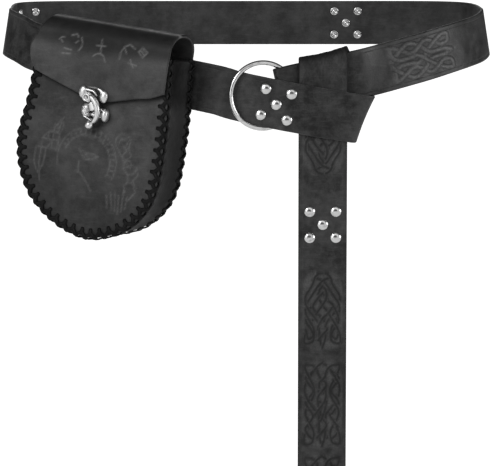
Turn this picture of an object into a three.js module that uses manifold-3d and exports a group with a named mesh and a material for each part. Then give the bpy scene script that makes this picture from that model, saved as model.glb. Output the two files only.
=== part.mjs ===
// A medieval belt pouch on its ring belt, as worn. Millimetres, +Z up, the wearer's front towards -Y.
// The origin is the middle of the waist, level with the middle of the belt at the back.
import * as THREE from "three";
import { mergeVertices } from "three/addons/utils/BufferGeometryUtils.js";
import Module from "manifold-3d";

const wasm = await Module();
wasm.setup();

// Belt
const WAIST_HALF_WIDTH = 207; // middle of the leather, side to side
const WAIST_HALF_DEPTH = 122.5; // middle of the leather, front to back
const FRONT_DROP = 56.6; // how far the ring's middle hangs below the belt at the back
const STRAP_WIDTH = 40;
const STRAP_THICKNESS = 2.6;
const LAYER_GAP = 0.5; // between two layers of leather
const TAIL_LENGTH = 398; // hanging end, from its fold over the belt to its tip
const RETURN_TAB_LENGTH = 56; // fixed end, folded back behind itself

// Ring and rivets
const RING_ACROSS = 13.6; // middle of the ring, to the wearer's left of the middle
const RING_OUTER_DIAMETER = 57.4;
const RING_WIRE = 4;
const RIVET_CAP_DIAMETER = 9.2;
const RIVET_CAP_HEIGHT = 2.2;
const RIVET_BACK_DIAMETER = 7.6;
const RIVET_BACK_HEIGHT = 1;
const RIVET_SHANK_DIAMETER = 3;
const RIVET_SPACING = 21.5; // side of the square that the four outer rivets of a set stand on
const CLEARANCE = 0.3; // between pieces that rest on each other
const RIVET_SEAT = 0.5; // between a rivet and the leather that curves under it
const CORNER_SEAT = 0.8; // the same where the belt turns a corner

// Pouch
const POUCH_ACROSS = -105; // middle of the straight stretch of belt that carries it
const POUCH_FORWARD = -95;
const POUCH_YAW = 22; // degrees, turned towards the wearer's right side
const POUCH_ROLL = 8.5; // degrees, lower at its inner side
const LEATHER = 2.6;
const PANEL_WIDTH = 129;
const PANEL_HEIGHT = 154.4;
const PANEL_TOP = -16; // top edge of the front panel, below the middle of the belt at the back
const BODY_DEPTH = 45.8; // rear face to front face
const BACK_FROM_BELT = 4.6; // middle of the belt's leather to the pouch's rear face
const FRONT_CROWN = 3; // how far the front panel swells
const GUSSET_SINK = 3; // how far the gusset draws in between its edges
const ARCH_BASE = -11.5; // where the back starts to turn over into the round top
const ARCH_RISE = 13.9; // of the round top, above its base
const FLAP_LENGTH = 46.9; // from the round top's base to the point of the flap
const FLAP_RISE = 2.8; // between the front panel and the flap
const LACE_REACH = 6; // how far the lacing comes in from the pouch's edges
const LACE_THICKNESS = 1.5;
const LOOP_WIDTH = 18;
const LOOP_SPACING = 66;
const LOOP_LEATHER = 2.2;
const LOOP_SLACK = 7; // spare height round the strap

// Clasp
const PIVOT_ACROSS = 7.3; // the lever's pin, from the middle of the belt behind the pouch
const PIVOT_UP = -56.4;
const PLATE_THICKNESS = 1.6;
const LOBE_HEIGHT = 2.4; // of the plate's rounded ends, which the lever swings over
const LEVER_THICKNESS = 2.6;
const PIN_DIAMETER = 2.4;

const RING_RADIUS = (RING_OUTER_DIAMETER - RING_WIRE) / 2;
const LAYER = STRAP_THICKNESS + LAYER_GAP;
const UP = new THREE.Vector3(0, 0, 1);
const radians = THREE.MathUtils.degToRad;
const vec = (x, y, z) => new THREE.Vector3(x, y, z);

const blackLeather = new THREE.MeshStandardMaterial({ color: 0x17181a, roughness: 0.55, metalness: 0 });
const flapLeather = new THREE.MeshStandardMaterial({ color: 0x1f2022, roughness: 0.5, metalness: 0 });
const blackLace = new THREE.MeshStandardMaterial({ color: 0x0c0c0d, roughness: 0.6, metalness: 0 });
const polishedSteel = new THREE.MeshStandardMaterial({ color: 0xd0d2d4, roughness: 0.15, metalness: 1 });
const castSilver = new THREE.MeshStandardMaterial({ color: 0xb9bbbe, roughness: 0.3, metalness: 1 });

const assembly = new THREE.Group();
const pouch = new THREE.Group();
pouch.position.set(POUCH_ACROSS, POUCH_FORWARD, 0);
pouch.rotation.set(0, radians(POUCH_ROLL), radians(-POUCH_YAW), "ZYX");
assembly.add(pouch);

function addMesh(parent, name, geometry, material) {
  const mesh = new THREE.Mesh(geometry, material);
  mesh.name = name;
  parent.add(mesh);
  return mesh;
}

// Joins equal corners, drops faces that have closed up, and turns the faces outwards.
function closedGeometry(source) {
  source.deleteAttribute("normal");
  source.deleteAttribute("uv");
  const merged = mergeVertices(source, 1e-4);
  const faces = [];
  for (let i = 0; i < merged.index.count; i += 3) {
    const [a, b, c] = [0, 1, 2].map((k) => merged.index.getX(i + k));
    if (a !== b && b !== c && a !== c) faces.push(a, b, c);
  }
  const corner = [vec(0, 0, 0), vec(0, 0, 0), vec(0, 0, 0)];
  let volume = 0;
  for (let i = 0; i < faces.length; i += 3) {
    corner.forEach((v, k) => v.fromBufferAttribute(merged.attributes.position, faces[i + k]));
    volume += corner[0].dot(corner[1].clone().cross(corner[2]));
  }
  if (volume < 0) faces.reverse();
  merged.setIndex(faces);
  return merged;
}

function solidFrom(geometry, matrix) {
  const placed = geometry.clone();
  if (matrix) placed.applyMatrix4(matrix);
  const closed = closedGeometry(placed);
  return new wasm.Manifold(
    new wasm.Mesh({
      numProp: 3,
      vertProperties: closed.attributes.position.array,
      triVerts: new Uint32Array(closed.index.array),
    }),
  );
}

function geometryFrom(solid) {
  const mesh = solid.getMesh();
  const geometry = new THREE.BufferGeometry();
  geometry.setAttribute("position", new THREE.BufferAttribute(mesh.vertProperties, 3));
  geometry.setIndex(new THREE.BufferAttribute(mesh.triVerts, 1));
  geometry.computeVertexNormals();
  return geometry;
}

// A closed solid through rows of points: each row has its outer points and, behind them, its inner ones.
function sheetSolid(rows) {
  const points = rows.flatMap((row) => [...row.outer, ...[...row.inner].reverse()]);
  const across = rows[0].outer.length;
  const around = 2 * across;
  const faces = [];
  const quad = (a, b, c, d) => faces.push(a, b, c, a, c, d);
  for (let row = 0; row + 1 < rows.length; row++) {
    for (let i = 0; i < around; i++) {
      const next = (i + 1) % around;
      quad(row * around + i, row * around + next, (row + 1) * around + next, (row + 1) * around + i);
    }
  }
  const last = (rows.length - 1) * around;
  for (let i = 0; i + 1 < across; i++) {
    quad(around - 1 - i, around - 2 - i, i + 1, i);
    quad(last + i, last + i + 1, last + around - 2 - i, last + around - 1 - i);
  }
  const geometry = new THREE.BufferGeometry().setFromPoints(points);
  geometry.setIndex(faces);
  return closedGeometry(geometry);
}

// The strap's run. A station has the middle of the leather and the direction its grain side faces.

// The belt round the body, from the wearer's left of the ring round the back to the pouch.
// across and depth are shares of the waist's half width and half depth, drop of the front drop.
// lean is how far the strap's lower edge stands out, in degrees.
const WAIST_STATIONS = [
  { across: 0.517, depth: -0.905, drop: 0.64, lean: 6 },
  { across: 0.618, depth: -0.822, drop: 0.548, lean: 7 },
  { across: 0.715, depth: -0.715, drop: 0.46, lean: 8 },
  { across: 0.814, depth: -0.585, drop: 0.36, lean: 8 },
  { across: 0.884, depth: -0.465, drop: 0.29, lean: 9 },
  { across: 0.957, depth: -0.285, drop: 0.212, lean: 9 },
  { across: 0.996, depth: -0.09, drop: 0.13, lean: 9 },
  { across: 1, depth: 0.1, drop: 0.09, lean: 9 },
  { across: 1, depth: 0.35, drop: 0.06, lean: 8 },
  { across: 0.998, depth: 0.6, drop: 0.045, lean: 6 },
  { across: 0.985, depth: 0.8, drop: 0.03, lean: 4 },
  { across: 0.945, depth: 0.925, drop: 0.015, lean: 4 },
  { across: 0.87, depth: 0.98, drop: 0.005, lean: 4 },
  { across: 0.75, depth: 1, drop: 0, lean: 4 },
  { across: 0.3, depth: 1, drop: 0, lean: 4 },
  { across: -0.3, depth: 1, drop: 0, lean: 4 },
  { across: -0.75, depth: 1, drop: 0, lean: 4 },
  { across: -0.89, depth: 0.985, drop: 0.005, lean: 4 },
  { across: -0.975, depth: 0.93, drop: 0.015, lean: 4 },
  { across: -1.012, depth: 0.8, drop: 0.03, lean: 4 },
  { across: -1.015, depth: 0.6, drop: 0.045, lean: 6 },
  { across: -1.01, depth: 0.35, drop: 0.06, lean: 8 },
  { across: -1, depth: 0.1, drop: 0.09, lean: 9 },
  { across: -0.994, depth: -0.09, drop: 0.115, lean: 9 },
  { across: -0.971, depth: -0.216, drop: 0.15, lean: 9 },
  { across: -0.924, depth: -0.36, drop: 0.215, lean: 8 },
  { across: -0.862, depth: -0.488, drop: 0.32, lean: 6 },
];
// The straight stretch that carries the pouch: along is a share of its half length, drop of the front drop.
const POUCH_STRETCH_HALF_LENGTH = 60;
const POUCH_STRETCH = [
  { along: -1, drop: 0.395, lean: 2 },
  { along: -0.5, drop: 0.5, lean: 1 },
  { along: 0, drop: 0.61, lean: 0 },
  { along: 0.5, drop: 0.72, lean: 1 },
  { along: 1, drop: 0.83, lean: 2 },
];

// Places at the knot: along runs to the wearer's left from the ring's middle, out towards the viewer.
const KNOT_YAW = 4; // degrees
const KNOT_FORWARD = -123;
const knotAlong = vec(Math.cos(radians(KNOT_YAW)), Math.sin(radians(KNOT_YAW)), 0);
const knotOut = vec(Math.sin(radians(KNOT_YAW)), -Math.cos(radians(KNOT_YAW)), 0);
const knotMiddle = vec(RING_ACROSS, KNOT_FORWARD, -FRONT_DROP);
function knotPoint(along, out, up) {
  return knotMiddle
    .clone()
    .addScaledVector(knotAlong, along)
    .addScaledVector(knotOut, out)
    .addScaledVector(UP, up);
}
function knotDirection(along, out, up) {
  return knotAlong.clone().multiplyScalar(along).addScaledVector(knotOut, out).addScaledVector(UP, up);
}

const TAIL_OUT = STRAP_THICKNESS + RIVET_CAP_HEIGHT + RIVET_SEAT + CLEARANCE;
const TOP_LAYER_OUT = TAIL_OUT + LAYER;
const HIDDEN_OUT = -(LAYER + STRAP_THICKNESS + RIVET_BACK_HEIGHT + RIVET_SEAT + LAYER_GAP);
const TAIL_FROM_RING = 2.1;
const TAIL_ALONG = RING_RADIUS + STRAP_WIDTH / 2 + TAIL_FROM_RING;

// The ring leans, so that its near side stands in front of one layer and its far side in the fold of another.
const RING_NEAR_OUT = 2.13 * LAYER;
const RING_FAR_OUT = -0.45 * LAYER;
const ringLean = Math.asin((RING_NEAR_OUT - RING_FAR_OUT) / (2 * RING_RADIUS));
const ringOut = (RING_NEAR_OUT + RING_FAR_OUT) / 2;
const ringOutAt = (along) => ringOut - along * Math.tan(ringLean);

// The fixed end is folded round the ring; it rises to the wearer's left.
const FIXED_SLOPE = 12.85;
const FIXED_RISE = -1; // middle of the strap above the ring's middle, where the ring's middle is
const POCKET_RADIUS = RING_WIRE / 2 + STRAP_THICKNESS / 2 + CLEARANCE;
const POCKET_START = 0.63 * RING_RADIUS;
const POCKET_END = 1.07 * RING_RADIUS;
const POCKET_CLOSED = 1.33 * RING_RADIUS;
const FIXED_END = POCKET_START + RETURN_TAB_LENGTH;
const fixedUp = (along) => FIXED_RISE + along * Math.tan(radians(FIXED_SLOPE));
const fixedPoint = (along, out) => knotPoint(along, out, fixedUp(along));

function fixedEndStations() {
  const stations = [];
  const outward = knotOut.clone();
  const inward = knotOut.clone().negate();
  const returnRun = [
    { along: FIXED_END, out: -LAYER },
    { along: POCKET_CLOSED, out: -LAYER },
    { along: POCKET_END, out: ringOutAt(POCKET_END) - POCKET_RADIUS },
    { along: POCKET_START, out: ringOutAt(POCKET_START) - POCKET_RADIUS },
  ];
  returnRun.forEach((row) => stations.push({ centre: fixedPoint(row.along, row.out), outward: inward }));
  const middle = ringOutAt(POCKET_START);
  const slope = Math.tan(radians(FIXED_SLOPE));
  const roundRing = knotDirection(-1, 0, -slope).normalize();
  const back = Math.cos(radians(FIXED_SLOPE)) * POCKET_RADIUS;
  for (let step = 1; step < 6; step++) {
    const turn = (Math.PI * step) / 6;
    const along = POCKET_START - back * Math.sin(turn);
    stations.push({
      centre: fixedPoint(along, middle - POCKET_RADIUS * Math.cos(turn)),
      outward: inward.clone().multiplyScalar(Math.cos(turn)).addScaledVector(roundRing, Math.sin(turn)),
    });
  }
  const frontRun = [
    { along: POCKET_START, out: middle + POCKET_RADIUS },
    { along: POCKET_END, out: ringOutAt(POCKET_END) + POCKET_RADIUS },
    { along: POCKET_CLOSED, out: 0 },
    { along: FIXED_END, out: 0 },
  ];
  frontRun.forEach((row) => stations.push({ centre: fixedPoint(row.along, row.out), outward }));
  return stations;
}

// The free end from the ring to its first fold: along is a share of the ring's radius,
// out a share of the height of the top layer, and drop a share of the strap's width.
const FREE_STATIONS = [
  { along: -1.24, out: -0.02, drop: -0.085 },
  { along: -0.98, out: 0.02, drop: -0.025 },
  { along: -0.66, out: 0.18, drop: 0.03 },
  { along: 0.04, out: 0.6, drop: 0.128 },
  { along: 0.55, out: 0.9, drop: 0.2 },
  { along: 1.06, out: 1.03, drop: 0.263 },
  { along: 1.81, out: 1.02, drop: 0.355 },
];
const FOLD_ONE_ALONG = 2.77 * RING_RADIUS;
const FOLD_ONE_DROP = 0.463 * STRAP_WIDTH;
const FOLD_ONE_HEADING = -9.8; // degrees above level
const FOLD_ONE_AXIS = 22.3; // degrees from upright
const FOLD_TWO_AXIS = 13.2; // degrees above level
const FOLD_TWO_UP = 26.4; // middle of the strap above the ring's middle, where the tail leaves the fold

function slopeDirection(degrees) {
  return knotDirection(Math.cos(radians(degrees)), 0, Math.sin(radians(degrees)));
}

const FOLD_STEPS = 8;
// Half a turn of the strap round a straight fold: from start, heading one way, to the far side of the fold.
function foldStations(start, heading, axis, radius) {
  const lengthwise = heading.dot(axis);
  const crosswise = heading.clone().addScaledVector(axis, -lengthwise);
  const pace = crosswise.length();
  crosswise.normalize();
  const middle = start.clone().addScaledVector(knotOut, -radius);
  const stations = [];
  for (let step = 0; step <= FOLD_STEPS; step++) {
    const turn = (Math.PI * step) / FOLD_STEPS;
    const outward = knotOut.clone().multiplyScalar(Math.cos(turn)).addScaledVector(crosswise, Math.sin(turn));
    stations.push({
      centre: middle
        .clone()
        .addScaledVector(outward, radius)
        .addScaledVector(axis, ((radius * turn) / pace) * lengthwise),
      outward,
    });
  }
  return stations;
}

function reflected(heading, axis) {
  return axis
    .clone()
    .multiplyScalar(2 * heading.dot(axis))
    .sub(heading);
}

function knotStations() {
  const axisOne = knotDirection(Math.sin(radians(FOLD_ONE_AXIS)), 0, Math.cos(radians(FOLD_ONE_AXIS)));
  const axisTwo = slopeDirection(FOLD_TWO_AXIS);
  const headingOne = slopeDirection(FOLD_ONE_HEADING);
  const down = UP.clone().negate();
  const startOne = knotPoint(FOLD_ONE_ALONG, TOP_LAYER_OUT, -FOLD_ONE_DROP);
  const first = foldStations(startOne, headingOne, axisOne, (TOP_LAYER_OUT - HIDDEN_OUT) / 2);
  const endTwo = knotPoint(TAIL_ALONG, TAIL_OUT, FOLD_TWO_UP);
  const second = foldStations(endTwo, UP, axisTwo, (TAIL_OUT - HIDDEN_OUT) / 2).reverse();
  const leaving = reflected(headingOne, axisOne);
  const arriving = reflected(down, axisTwo);
  const from = first[first.length - 1].centre;
  const to = second[0].centre;
  const reach = from.distanceTo(to) / 3;
  const hidden = new THREE.CubicBezierCurve3(
    from,
    from.clone().addScaledVector(leaving, reach),
    to.clone().addScaledVector(arriving, -reach),
    to,
  );
  const HIDDEN_STEPS = 6;
  const run = [];
  for (let step = 1; step < HIDDEN_STEPS; step++) {
    run.push({ centre: hidden.getPoint(step / HIDDEN_STEPS), outward: knotOut.clone().negate() });
  }
  const tip = endTwo.clone().addScaledVector(UP, -TAIL_LENGTH);
  const tail = [{ centre: tip, outward: knotOut.clone() }];
  return [...first, ...run, ...second, ...tail];
}

// The belt's stations from the fixed end to the tail, smoothed where it goes round the body.
const LOOP_STEPS = 104;
function waistStations() {
  const rows = [];
  rows.push({ point: fixedPoint(FIXED_END, 0), lean: 0 });
  rows.push({ point: fixedPoint(FIXED_END + 8, 0.1), lean: 1 });
  WAIST_STATIONS.forEach((row) =>
    rows.push({
      point: vec(row.across * WAIST_HALF_WIDTH, row.depth * WAIST_HALF_DEPTH, -row.drop * FRONT_DROP),
      lean: row.lean,
    }),
  );
  const stretch = vec(Math.cos(radians(-POUCH_YAW)), Math.sin(radians(-POUCH_YAW)), 0);
  POUCH_STRETCH.forEach((row) =>
    rows.push({
      point: vec(POUCH_ACROSS, POUCH_FORWARD, -row.drop * FRONT_DROP).addScaledVector(
        stretch,
        row.along * POUCH_STRETCH_HALF_LENGTH,
      ),
      lean: row.lean,
    }),
  );
  FREE_STATIONS.forEach((row) =>
    rows.push({
      point: knotPoint(row.along * RING_RADIUS, row.out * TOP_LAYER_OUT, -row.drop * STRAP_WIDTH),
      lean: 0,
    }),
  );
  rows.push({ point: knotPoint(FOLD_ONE_ALONG, TOP_LAYER_OUT, -FOLD_ONE_DROP), lean: 0 });
  const curve = new THREE.CatmullRomCurve3(
    rows.map((row) => row.point),
    false,
    "centripetal",
  );
  const stations = [];
  for (let step = 1; step < LOOP_STEPS; step++) {
    const place = step / LOOP_STEPS;
    const row = place * (rows.length - 1);
    const before = Math.floor(row);
    const lean = THREE.MathUtils.lerp(rows[before].lean, rows[before + 1].lean, row - before);
    const heading = curve.getTangent(place);
    const outward = heading.clone().cross(UP).normalize();
    const upward = UP.clone()
      .multiplyScalar(Math.cos(radians(lean)))
      .addScaledVector(outward, -Math.sin(radians(lean)));
    stations.push({ centre: curve.getPoint(place), outward: heading.clone().cross(upward).normalize() });
  }
  return stations;
}

const strapStations = [...fixedEndStations(), ...waistStations(), ...knotStations()];
let strapLength = 0;
strapStations.forEach((station, i) => {
  const before = strapStations[Math.max(i - 1, 0)].centre;
  const after = strapStations[Math.min(i + 1, strapStations.length - 1)].centre;
  const heading = after.clone().sub(before).normalize();
  strapLength += before.distanceTo(station.centre);
  station.distance = strapLength;
  station.upward = station.outward.clone().cross(heading).normalize();
  station.outward = heading.clone().cross(station.upward).normalize();
});

// The strap's frame at a distance along it.
function strapAt(distance) {
  const after = Math.max(
    strapStations.findIndex((station) => station.distance >= distance),
    1,
  );
  const [a, b] = [strapStations[after - 1], strapStations[after]];
  const share = (distance - a.distance) / (b.distance - a.distance);
  return {
    centre: a.centre.clone().lerp(b.centre, share),
    outward: a.outward.clone().lerp(b.outward, share).normalize(),
    upward: a.upward.clone().lerp(b.upward, share).normalize(),
  };
}

// The distance along the strap of its place nearest to a point, beyond a given distance.
function distanceNear(point, beyond = 0) {
  let best = { gap: Infinity, distance: 0 };
  strapStations.slice(1).forEach((station, i) => {
    const before = strapStations[i];
    if (before.distance < beyond) return;
    const step = station.centre.clone().sub(before.centre);
    const share = THREE.MathUtils.clamp(
      point.clone().sub(before.centre).dot(step) / step.lengthSq(),
      0,
      1,
    );
    const gap = before.centre.clone().addScaledVector(step, share).distanceTo(point);
    if (gap < best.gap) best = { gap, distance: before.distance + share * step.length() };
  });
  return best.distance;
}

function rivetGeometry(layers, seat) {
  const outer = STRAP_THICKNESS / 2 + seat;
  const inner = -outer - (layers - 1) * LAYER;
  const cap = RIVET_CAP_DIAMETER / 2;
  const back = RIVET_BACK_DIAMETER / 2;
  const shank = RIVET_SHANK_DIAMETER / 2;
  const profile = [
    [0, outer + RIVET_CAP_HEIGHT],
    [0.72 * cap, outer + 0.7 * RIVET_CAP_HEIGHT],
    [cap, outer],
    [shank, outer],
    [shank, inner],
    [back, inner],
    [back, inner - RIVET_BACK_HEIGHT],
    [shank, inner - RIVET_BACK_HEIGHT],
    [0, inner - 0.3 * RIVET_BACK_HEIGHT],
  ];
  const points = profile.map(([radius, height]) => new THREE.Vector2(radius, height));
  return closedGeometry(new THREE.LatheGeometry(points.reverse(), 10));
}

// Where each set of five rivets stands along the strap, its grain side out.
const PAST_POUCH = 400; // a length of strap that ends before the belt comes back to the ring
const foldTwoEnd = knotPoint(TAIL_ALONG, TAIL_OUT, FOLD_TWO_UP);
const backSetAt = distanceNear(vec(91.9, WAIST_HALF_DEPTH, 0));
const sideSetAt = distanceNear(vec(-203.5, 113, 0));
const ringSetAt = distanceNear(knotPoint(10.4, TOP_LAYER_OUT, -7), PAST_POUCH);
const tailSetAt = distanceNear(foldTwoEnd.clone().addScaledVector(UP, -132), PAST_POUCH);
const fixedSetAt = distanceNear(fixedPoint(1.95 * RING_RADIUS, 0), RETURN_TAB_LENGTH);
const RIVET_SETS = [
  { name: "back_rivet", at: backSetAt, layers: 1, seat: RIVET_SEAT },
  { name: "side_rivet", at: sideSetAt, layers: 1, seat: CORNER_SEAT },
  { name: "ring_rivet", at: ringSetAt, layers: 1, seat: RIVET_SEAT },
  { name: "tail_rivet", at: tailSetAt, layers: 1, seat: RIVET_SEAT },
  { name: "fixed_rivet", at: fixedSetAt, layers: 2, seat: RIVET_SEAT },
];
const RIVET_PLACES = [
  { name: "upper_left", along: -0.5, up: 0.5 },
  { name: "upper_right", along: 0.5, up: 0.5 },
  { name: "middle", along: 0, up: 0 },
  { name: "lower_left", along: -0.5, up: -0.5 },
  { name: "lower_right", along: 0.5, up: -0.5 },
];
const HOLE_SIDES = 8;
const HOLE_DIAMETER = (RIVET_SHANK_DIAMETER + 2 * CLEARANCE) / Math.cos(Math.PI / HOLE_SIDES);

let strap = solidFrom(
  sheetSolid(
    strapStations.map(({ centre, outward, upward }) => {
      const side = (out, up) =>
        centre
          .clone()
          .addScaledVector(outward, out * (STRAP_THICKNESS / 2))
          .addScaledVector(upward, up * (STRAP_WIDTH / 2));
      return { outer: [side(1, -1), side(1, 1)], inner: [side(-1, -1), side(-1, 1)] };
    }),
  ),
);
RIVET_SETS.forEach((set) => {
  const geometry = rivetGeometry(set.layers, set.seat);
  const depth = set.layers * LAYER + STRAP_THICKNESS;
  const drill = new THREE.CylinderGeometry(HOLE_DIAMETER / 2, HOLE_DIAMETER / 2, depth, HOLE_SIDES);
  drill.translate(0, STRAP_THICKNESS - depth / 2, 0);
  RIVET_PLACES.forEach((place) => {
    const frame = strapAt(set.at + place.along * RIVET_SPACING);
    const upward = frame.upward;
    const across = frame.outward.clone().cross(upward);
    const matrix = new THREE.Matrix4().makeBasis(across, frame.outward, upward);
    matrix.setPosition(frame.centre.clone().addScaledVector(upward, place.up * RIVET_SPACING));
    strap = strap.subtract(solidFrom(drill, matrix));
    const rivet = addMesh(assembly, set.name + "_" + place.name, geometry, polishedSteel);
    rivet.applyMatrix4(matrix);
  });
});
const ringAcross = knotAlong
  .clone()
  .multiplyScalar(Math.cos(ringLean))
  .addScaledVector(knotOut, -Math.sin(ringLean));
const ringMatrix = new THREE.Matrix4()
  .makeBasis(ringAcross, UP, ringAcross.clone().cross(UP))
  .setPosition(knotPoint(0, ringOut, 0));
const torus = (wire) => closedGeometry(new THREE.TorusGeometry(RING_RADIUS, wire / 2, 8, 40));
addMesh(assembly, "belt_ring", torus(RING_WIRE), polishedSteel).applyMatrix4(ringMatrix);
// The leather of the fold is pressed in where the wire bears on it.
strap = strap.subtract(solidFrom(torus(RING_WIRE + 2 * CLEARANCE), ringMatrix));
addMesh(assembly, "belt_strap", geometryFrom(strap), blackLeather);

// The pouch is drawn in its own frame: across to the right, up, and out towards the viewer.
const pouchPoint = (across, out, up) => vec(across, -out, up);
const REAR_OUT = BACK_FROM_BELT + LEATHER / 2;
const FRONT_OUT = BACK_FROM_BELT + BODY_DEPTH - LEATHER / 2;
const FLAP_OUT = FRONT_OUT + LEATHER + FLAP_RISE - CLEARANCE;
const PANEL_MIDDLE = 11;

// The outline of the front and the back from the top down: left, right and fall are shares,
// of the panel's width from its middle line and of its height from its top edge.
const OUTLINE = [
  { left: -0.437, leftFall: 0, right: 0.478, rightFall: 0 },
  { left: -0.441, leftFall: 0.11, right: 0.484, rightFall: 0.11 },
  { left: -0.45, leftFall: 0.23, right: 0.491, rightFall: 0.22 },
  { left: -0.467, leftFall: 0.36, right: 0.5, rightFall: 0.36 },
  { left: -0.497, leftFall: 0.505, right: 0.5, rightFall: 0.5 },
  { left: -0.492, leftFall: 0.59, right: 0.497, rightFall: 0.6 },
  { left: -0.468, leftFall: 0.678, right: 0.486, rightFall: 0.69 },
  { left: -0.435, leftFall: 0.745, right: 0.455, rightFall: 0.775 },
  { left: -0.372, leftFall: 0.828, right: 0.402, rightFall: 0.848 },
  { left: -0.272, leftFall: 0.903, right: 0.335, rightFall: 0.907 },
  { left: -0.17, leftFall: 0.953, right: 0.262, rightFall: 0.949 },
  { left: -0.06, leftFall: 0.986, right: 0.16, rightFall: 0.984 },
  { left: 0.025, leftFall: 0.999, right: 0.085, rightFall: 0.999 },
];
const outlineLeft = OUTLINE.map((row) =>
  vec(PANEL_MIDDLE + row.left * PANEL_WIDTH, 0, PANEL_TOP - row.leftFall * PANEL_HEIGHT),
);
const outlineRight = OUTLINE.map((row) =>
  vec(PANEL_MIDDLE + row.right * PANEL_WIDTH, 0, PANEL_TOP - row.rightFall * PANEL_HEIGHT),
);

const PANEL_COLUMNS = 10;
// A panel swells over this share of its width, and between these shares of its rows.
const SWELL_SHARE = 0.76;
const SWELL_START = 0.07;
const SWELL_END = 0.79;
const bulge = (share) => Math.max(0, 1 - ((2 * share - 1) / SWELL_SHARE) ** 2);
const swellAt = (down) =>
  Math.sin(Math.PI * THREE.MathUtils.clamp((down - SWELL_START) / (SWELL_END - SWELL_START), 0, 1));
function panelRow(row, out, crown) {
  const swell = crown * swellAt(row / (OUTLINE.length - 1));
  const side = (outAt) =>
    Array.from({ length: PANEL_COLUMNS + 1 }, (_, column) => {
      const share = column / PANEL_COLUMNS;
      const point = outlineLeft[row].clone().lerp(outlineRight[row], share);
      return pouchPoint(point.x, outAt + swell * bulge(share), point.z);
    });
  return { outer: side(out + LEATHER / 2), inner: side(out - LEATHER / 2) };
}
addMesh(
  pouch,
  "pouch_front_panel",
  sheetSolid(OUTLINE.map((_, row) => panelRow(row, FRONT_OUT, FRONT_CROWN))),
  blackLeather,
);

// The edge of the pouch from the top left round the bottom to the top right, with the way out of it.
const edge = [...outlineLeft, ...[...outlineRight].reverse()];
const edgeRows = edge.map((point, i) => {
  const before = edge[Math.max(i - 1, 0)];
  const after = edge[Math.min(i + 1, edge.length - 1)];
  const heading = after.clone().sub(before).normalize();
  return { point, away: vec(-heading.z, 0, heading.x).negate() };
});
const edgePoint = (row, away, out) =>
  pouchPoint(row.point.x + row.away.x * away, out, row.point.z + row.away.z * away);

// The gusset between the two panels, drawn in along its middle.
const GUSSET_COLUMNS = 4;
const GUSSET_REAR = REAR_OUT + LEATHER / 2 + CLEARANCE;
const GUSSET_FRONT = FRONT_OUT - LEATHER / 2 - CLEARANCE;
addMesh(
  pouch,
  "pouch_gusset",
  sheetSolid(
    edgeRows.map((row) => {
      const side = (away) =>
        Array.from({ length: GUSSET_COLUMNS + 1 }, (_, column) => {
          const share = column / GUSSET_COLUMNS;
          const out = THREE.MathUtils.lerp(GUSSET_REAR, GUSSET_FRONT, share);
          return edgePoint(row, away - GUSSET_SINK * bulge(share), out);
        });
      return { outer: side(0), inner: side(-LEATHER) };
    }),
  ),
  blackLeather,
);

// The back panel, the round top and the flap are one piece of leather.
const ARCH_STEPS = 8;
const FLAP_ROWS = 5;
const archMiddle = (REAR_OUT + FLAP_OUT) / 2;
const archRadius = (FLAP_OUT - REAR_OUT) / 2;
// The flap's lower edge from left to right, as shares of its length.
const FLAP_EDGE = [0.65, 0.735, 0.812, 0.885, 0.96, 1, 0.982, 0.918, 0.85, 0.8, 0.69];
const FLAP_SPREAD = 5; // how far the flap stands out past the body at its left
const RIDGE_INSET = 5; // how far its left edge comes in along the ridge

// A place on the round top: turn runs from the back over to the front, half is the way out from mid-leather.
const archPlace = (turn, half) => ({
  out: archMiddle - (archRadius + half) * Math.cos(turn),
  up: ARCH_BASE + (ARCH_RISE + half) * Math.sin(turn),
});
function flapSheetRow(leftInset, place) {
  const side = (half) =>
    Array.from({ length: PANEL_COLUMNS + 1 }, (_, column) => {
      const share = column / PANEL_COLUMNS;
      const left = outlineLeft[0].x + leftInset;
      const { out, up } = place(half, column);
      return pouchPoint(left + share * (outlineRight[0].x - left), out, up);
    });
  return { outer: side(LEATHER / 2), inner: side(-LEATHER / 2) };
}
const backAndFlap = OUTLINE.map((_, row) => panelRow(row, REAR_OUT, 0)).reverse();
backAndFlap.forEach((row) => {
  [row.outer, row.inner] = [row.inner, row.outer];
});
for (let step = 0; step <= ARCH_STEPS; step++) {
  const turn = (Math.PI * step) / ARCH_STEPS;
  backAndFlap.push(flapSheetRow(RIDGE_INSET * Math.sin(turn), (half) => archPlace(turn, half)));
}
for (let row = 1; row <= FLAP_ROWS; row++) {
  const down = row / FLAP_ROWS;
  backAndFlap.push(
    flapSheetRow(-FLAP_SPREAD * Math.sin(1.1 * Math.PI * down), (half, column) => ({
      out: FLAP_OUT + half,
      up: ARCH_BASE - down * FLAP_EDGE[column] * FLAP_LENGTH,
    })),
  );
}
addMesh(pouch, "pouch_back_and_flap", sheetSolid(backAndFlap), flapLeather);

// The lacing closes each long edge: one leg lies on the panel, the other on the gusset.
// Each row is a place of its corner in section, as shares of the height of its face.
const LACE_CORNER = [
  { outward: 1.15, sideways: 0.2 },
  { outward: 0.2, sideways: 1.15 },
];
function lacing(face, sense) {
  const low = CLEARANCE;
  const high = CLEARANCE + LACE_THICKNESS;
  return sheetSolid(
    edgeRows.map((row) => {
      const at = (away, out) => edgePoint(row, away, face + sense * out);
      const corner = LACE_CORNER.map((place) => at(place.sideways * high, place.outward * high));
      return {
        outer: [at(-LACE_REACH, high), ...corner, at(high, -LACE_REACH)],
        inner: [at(-LACE_REACH, low), at(low / 2, low), at(low, low / 2), at(low, -LACE_REACH)],
      };
    }),
  );
}
addMesh(pouch, "lacing_front", lacing(FRONT_OUT + LEATHER / 2, 1), blackLace);
addMesh(pouch, "lacing_back", lacing(REAR_OUT - LEATHER / 2, -1), blackLace);

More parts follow.
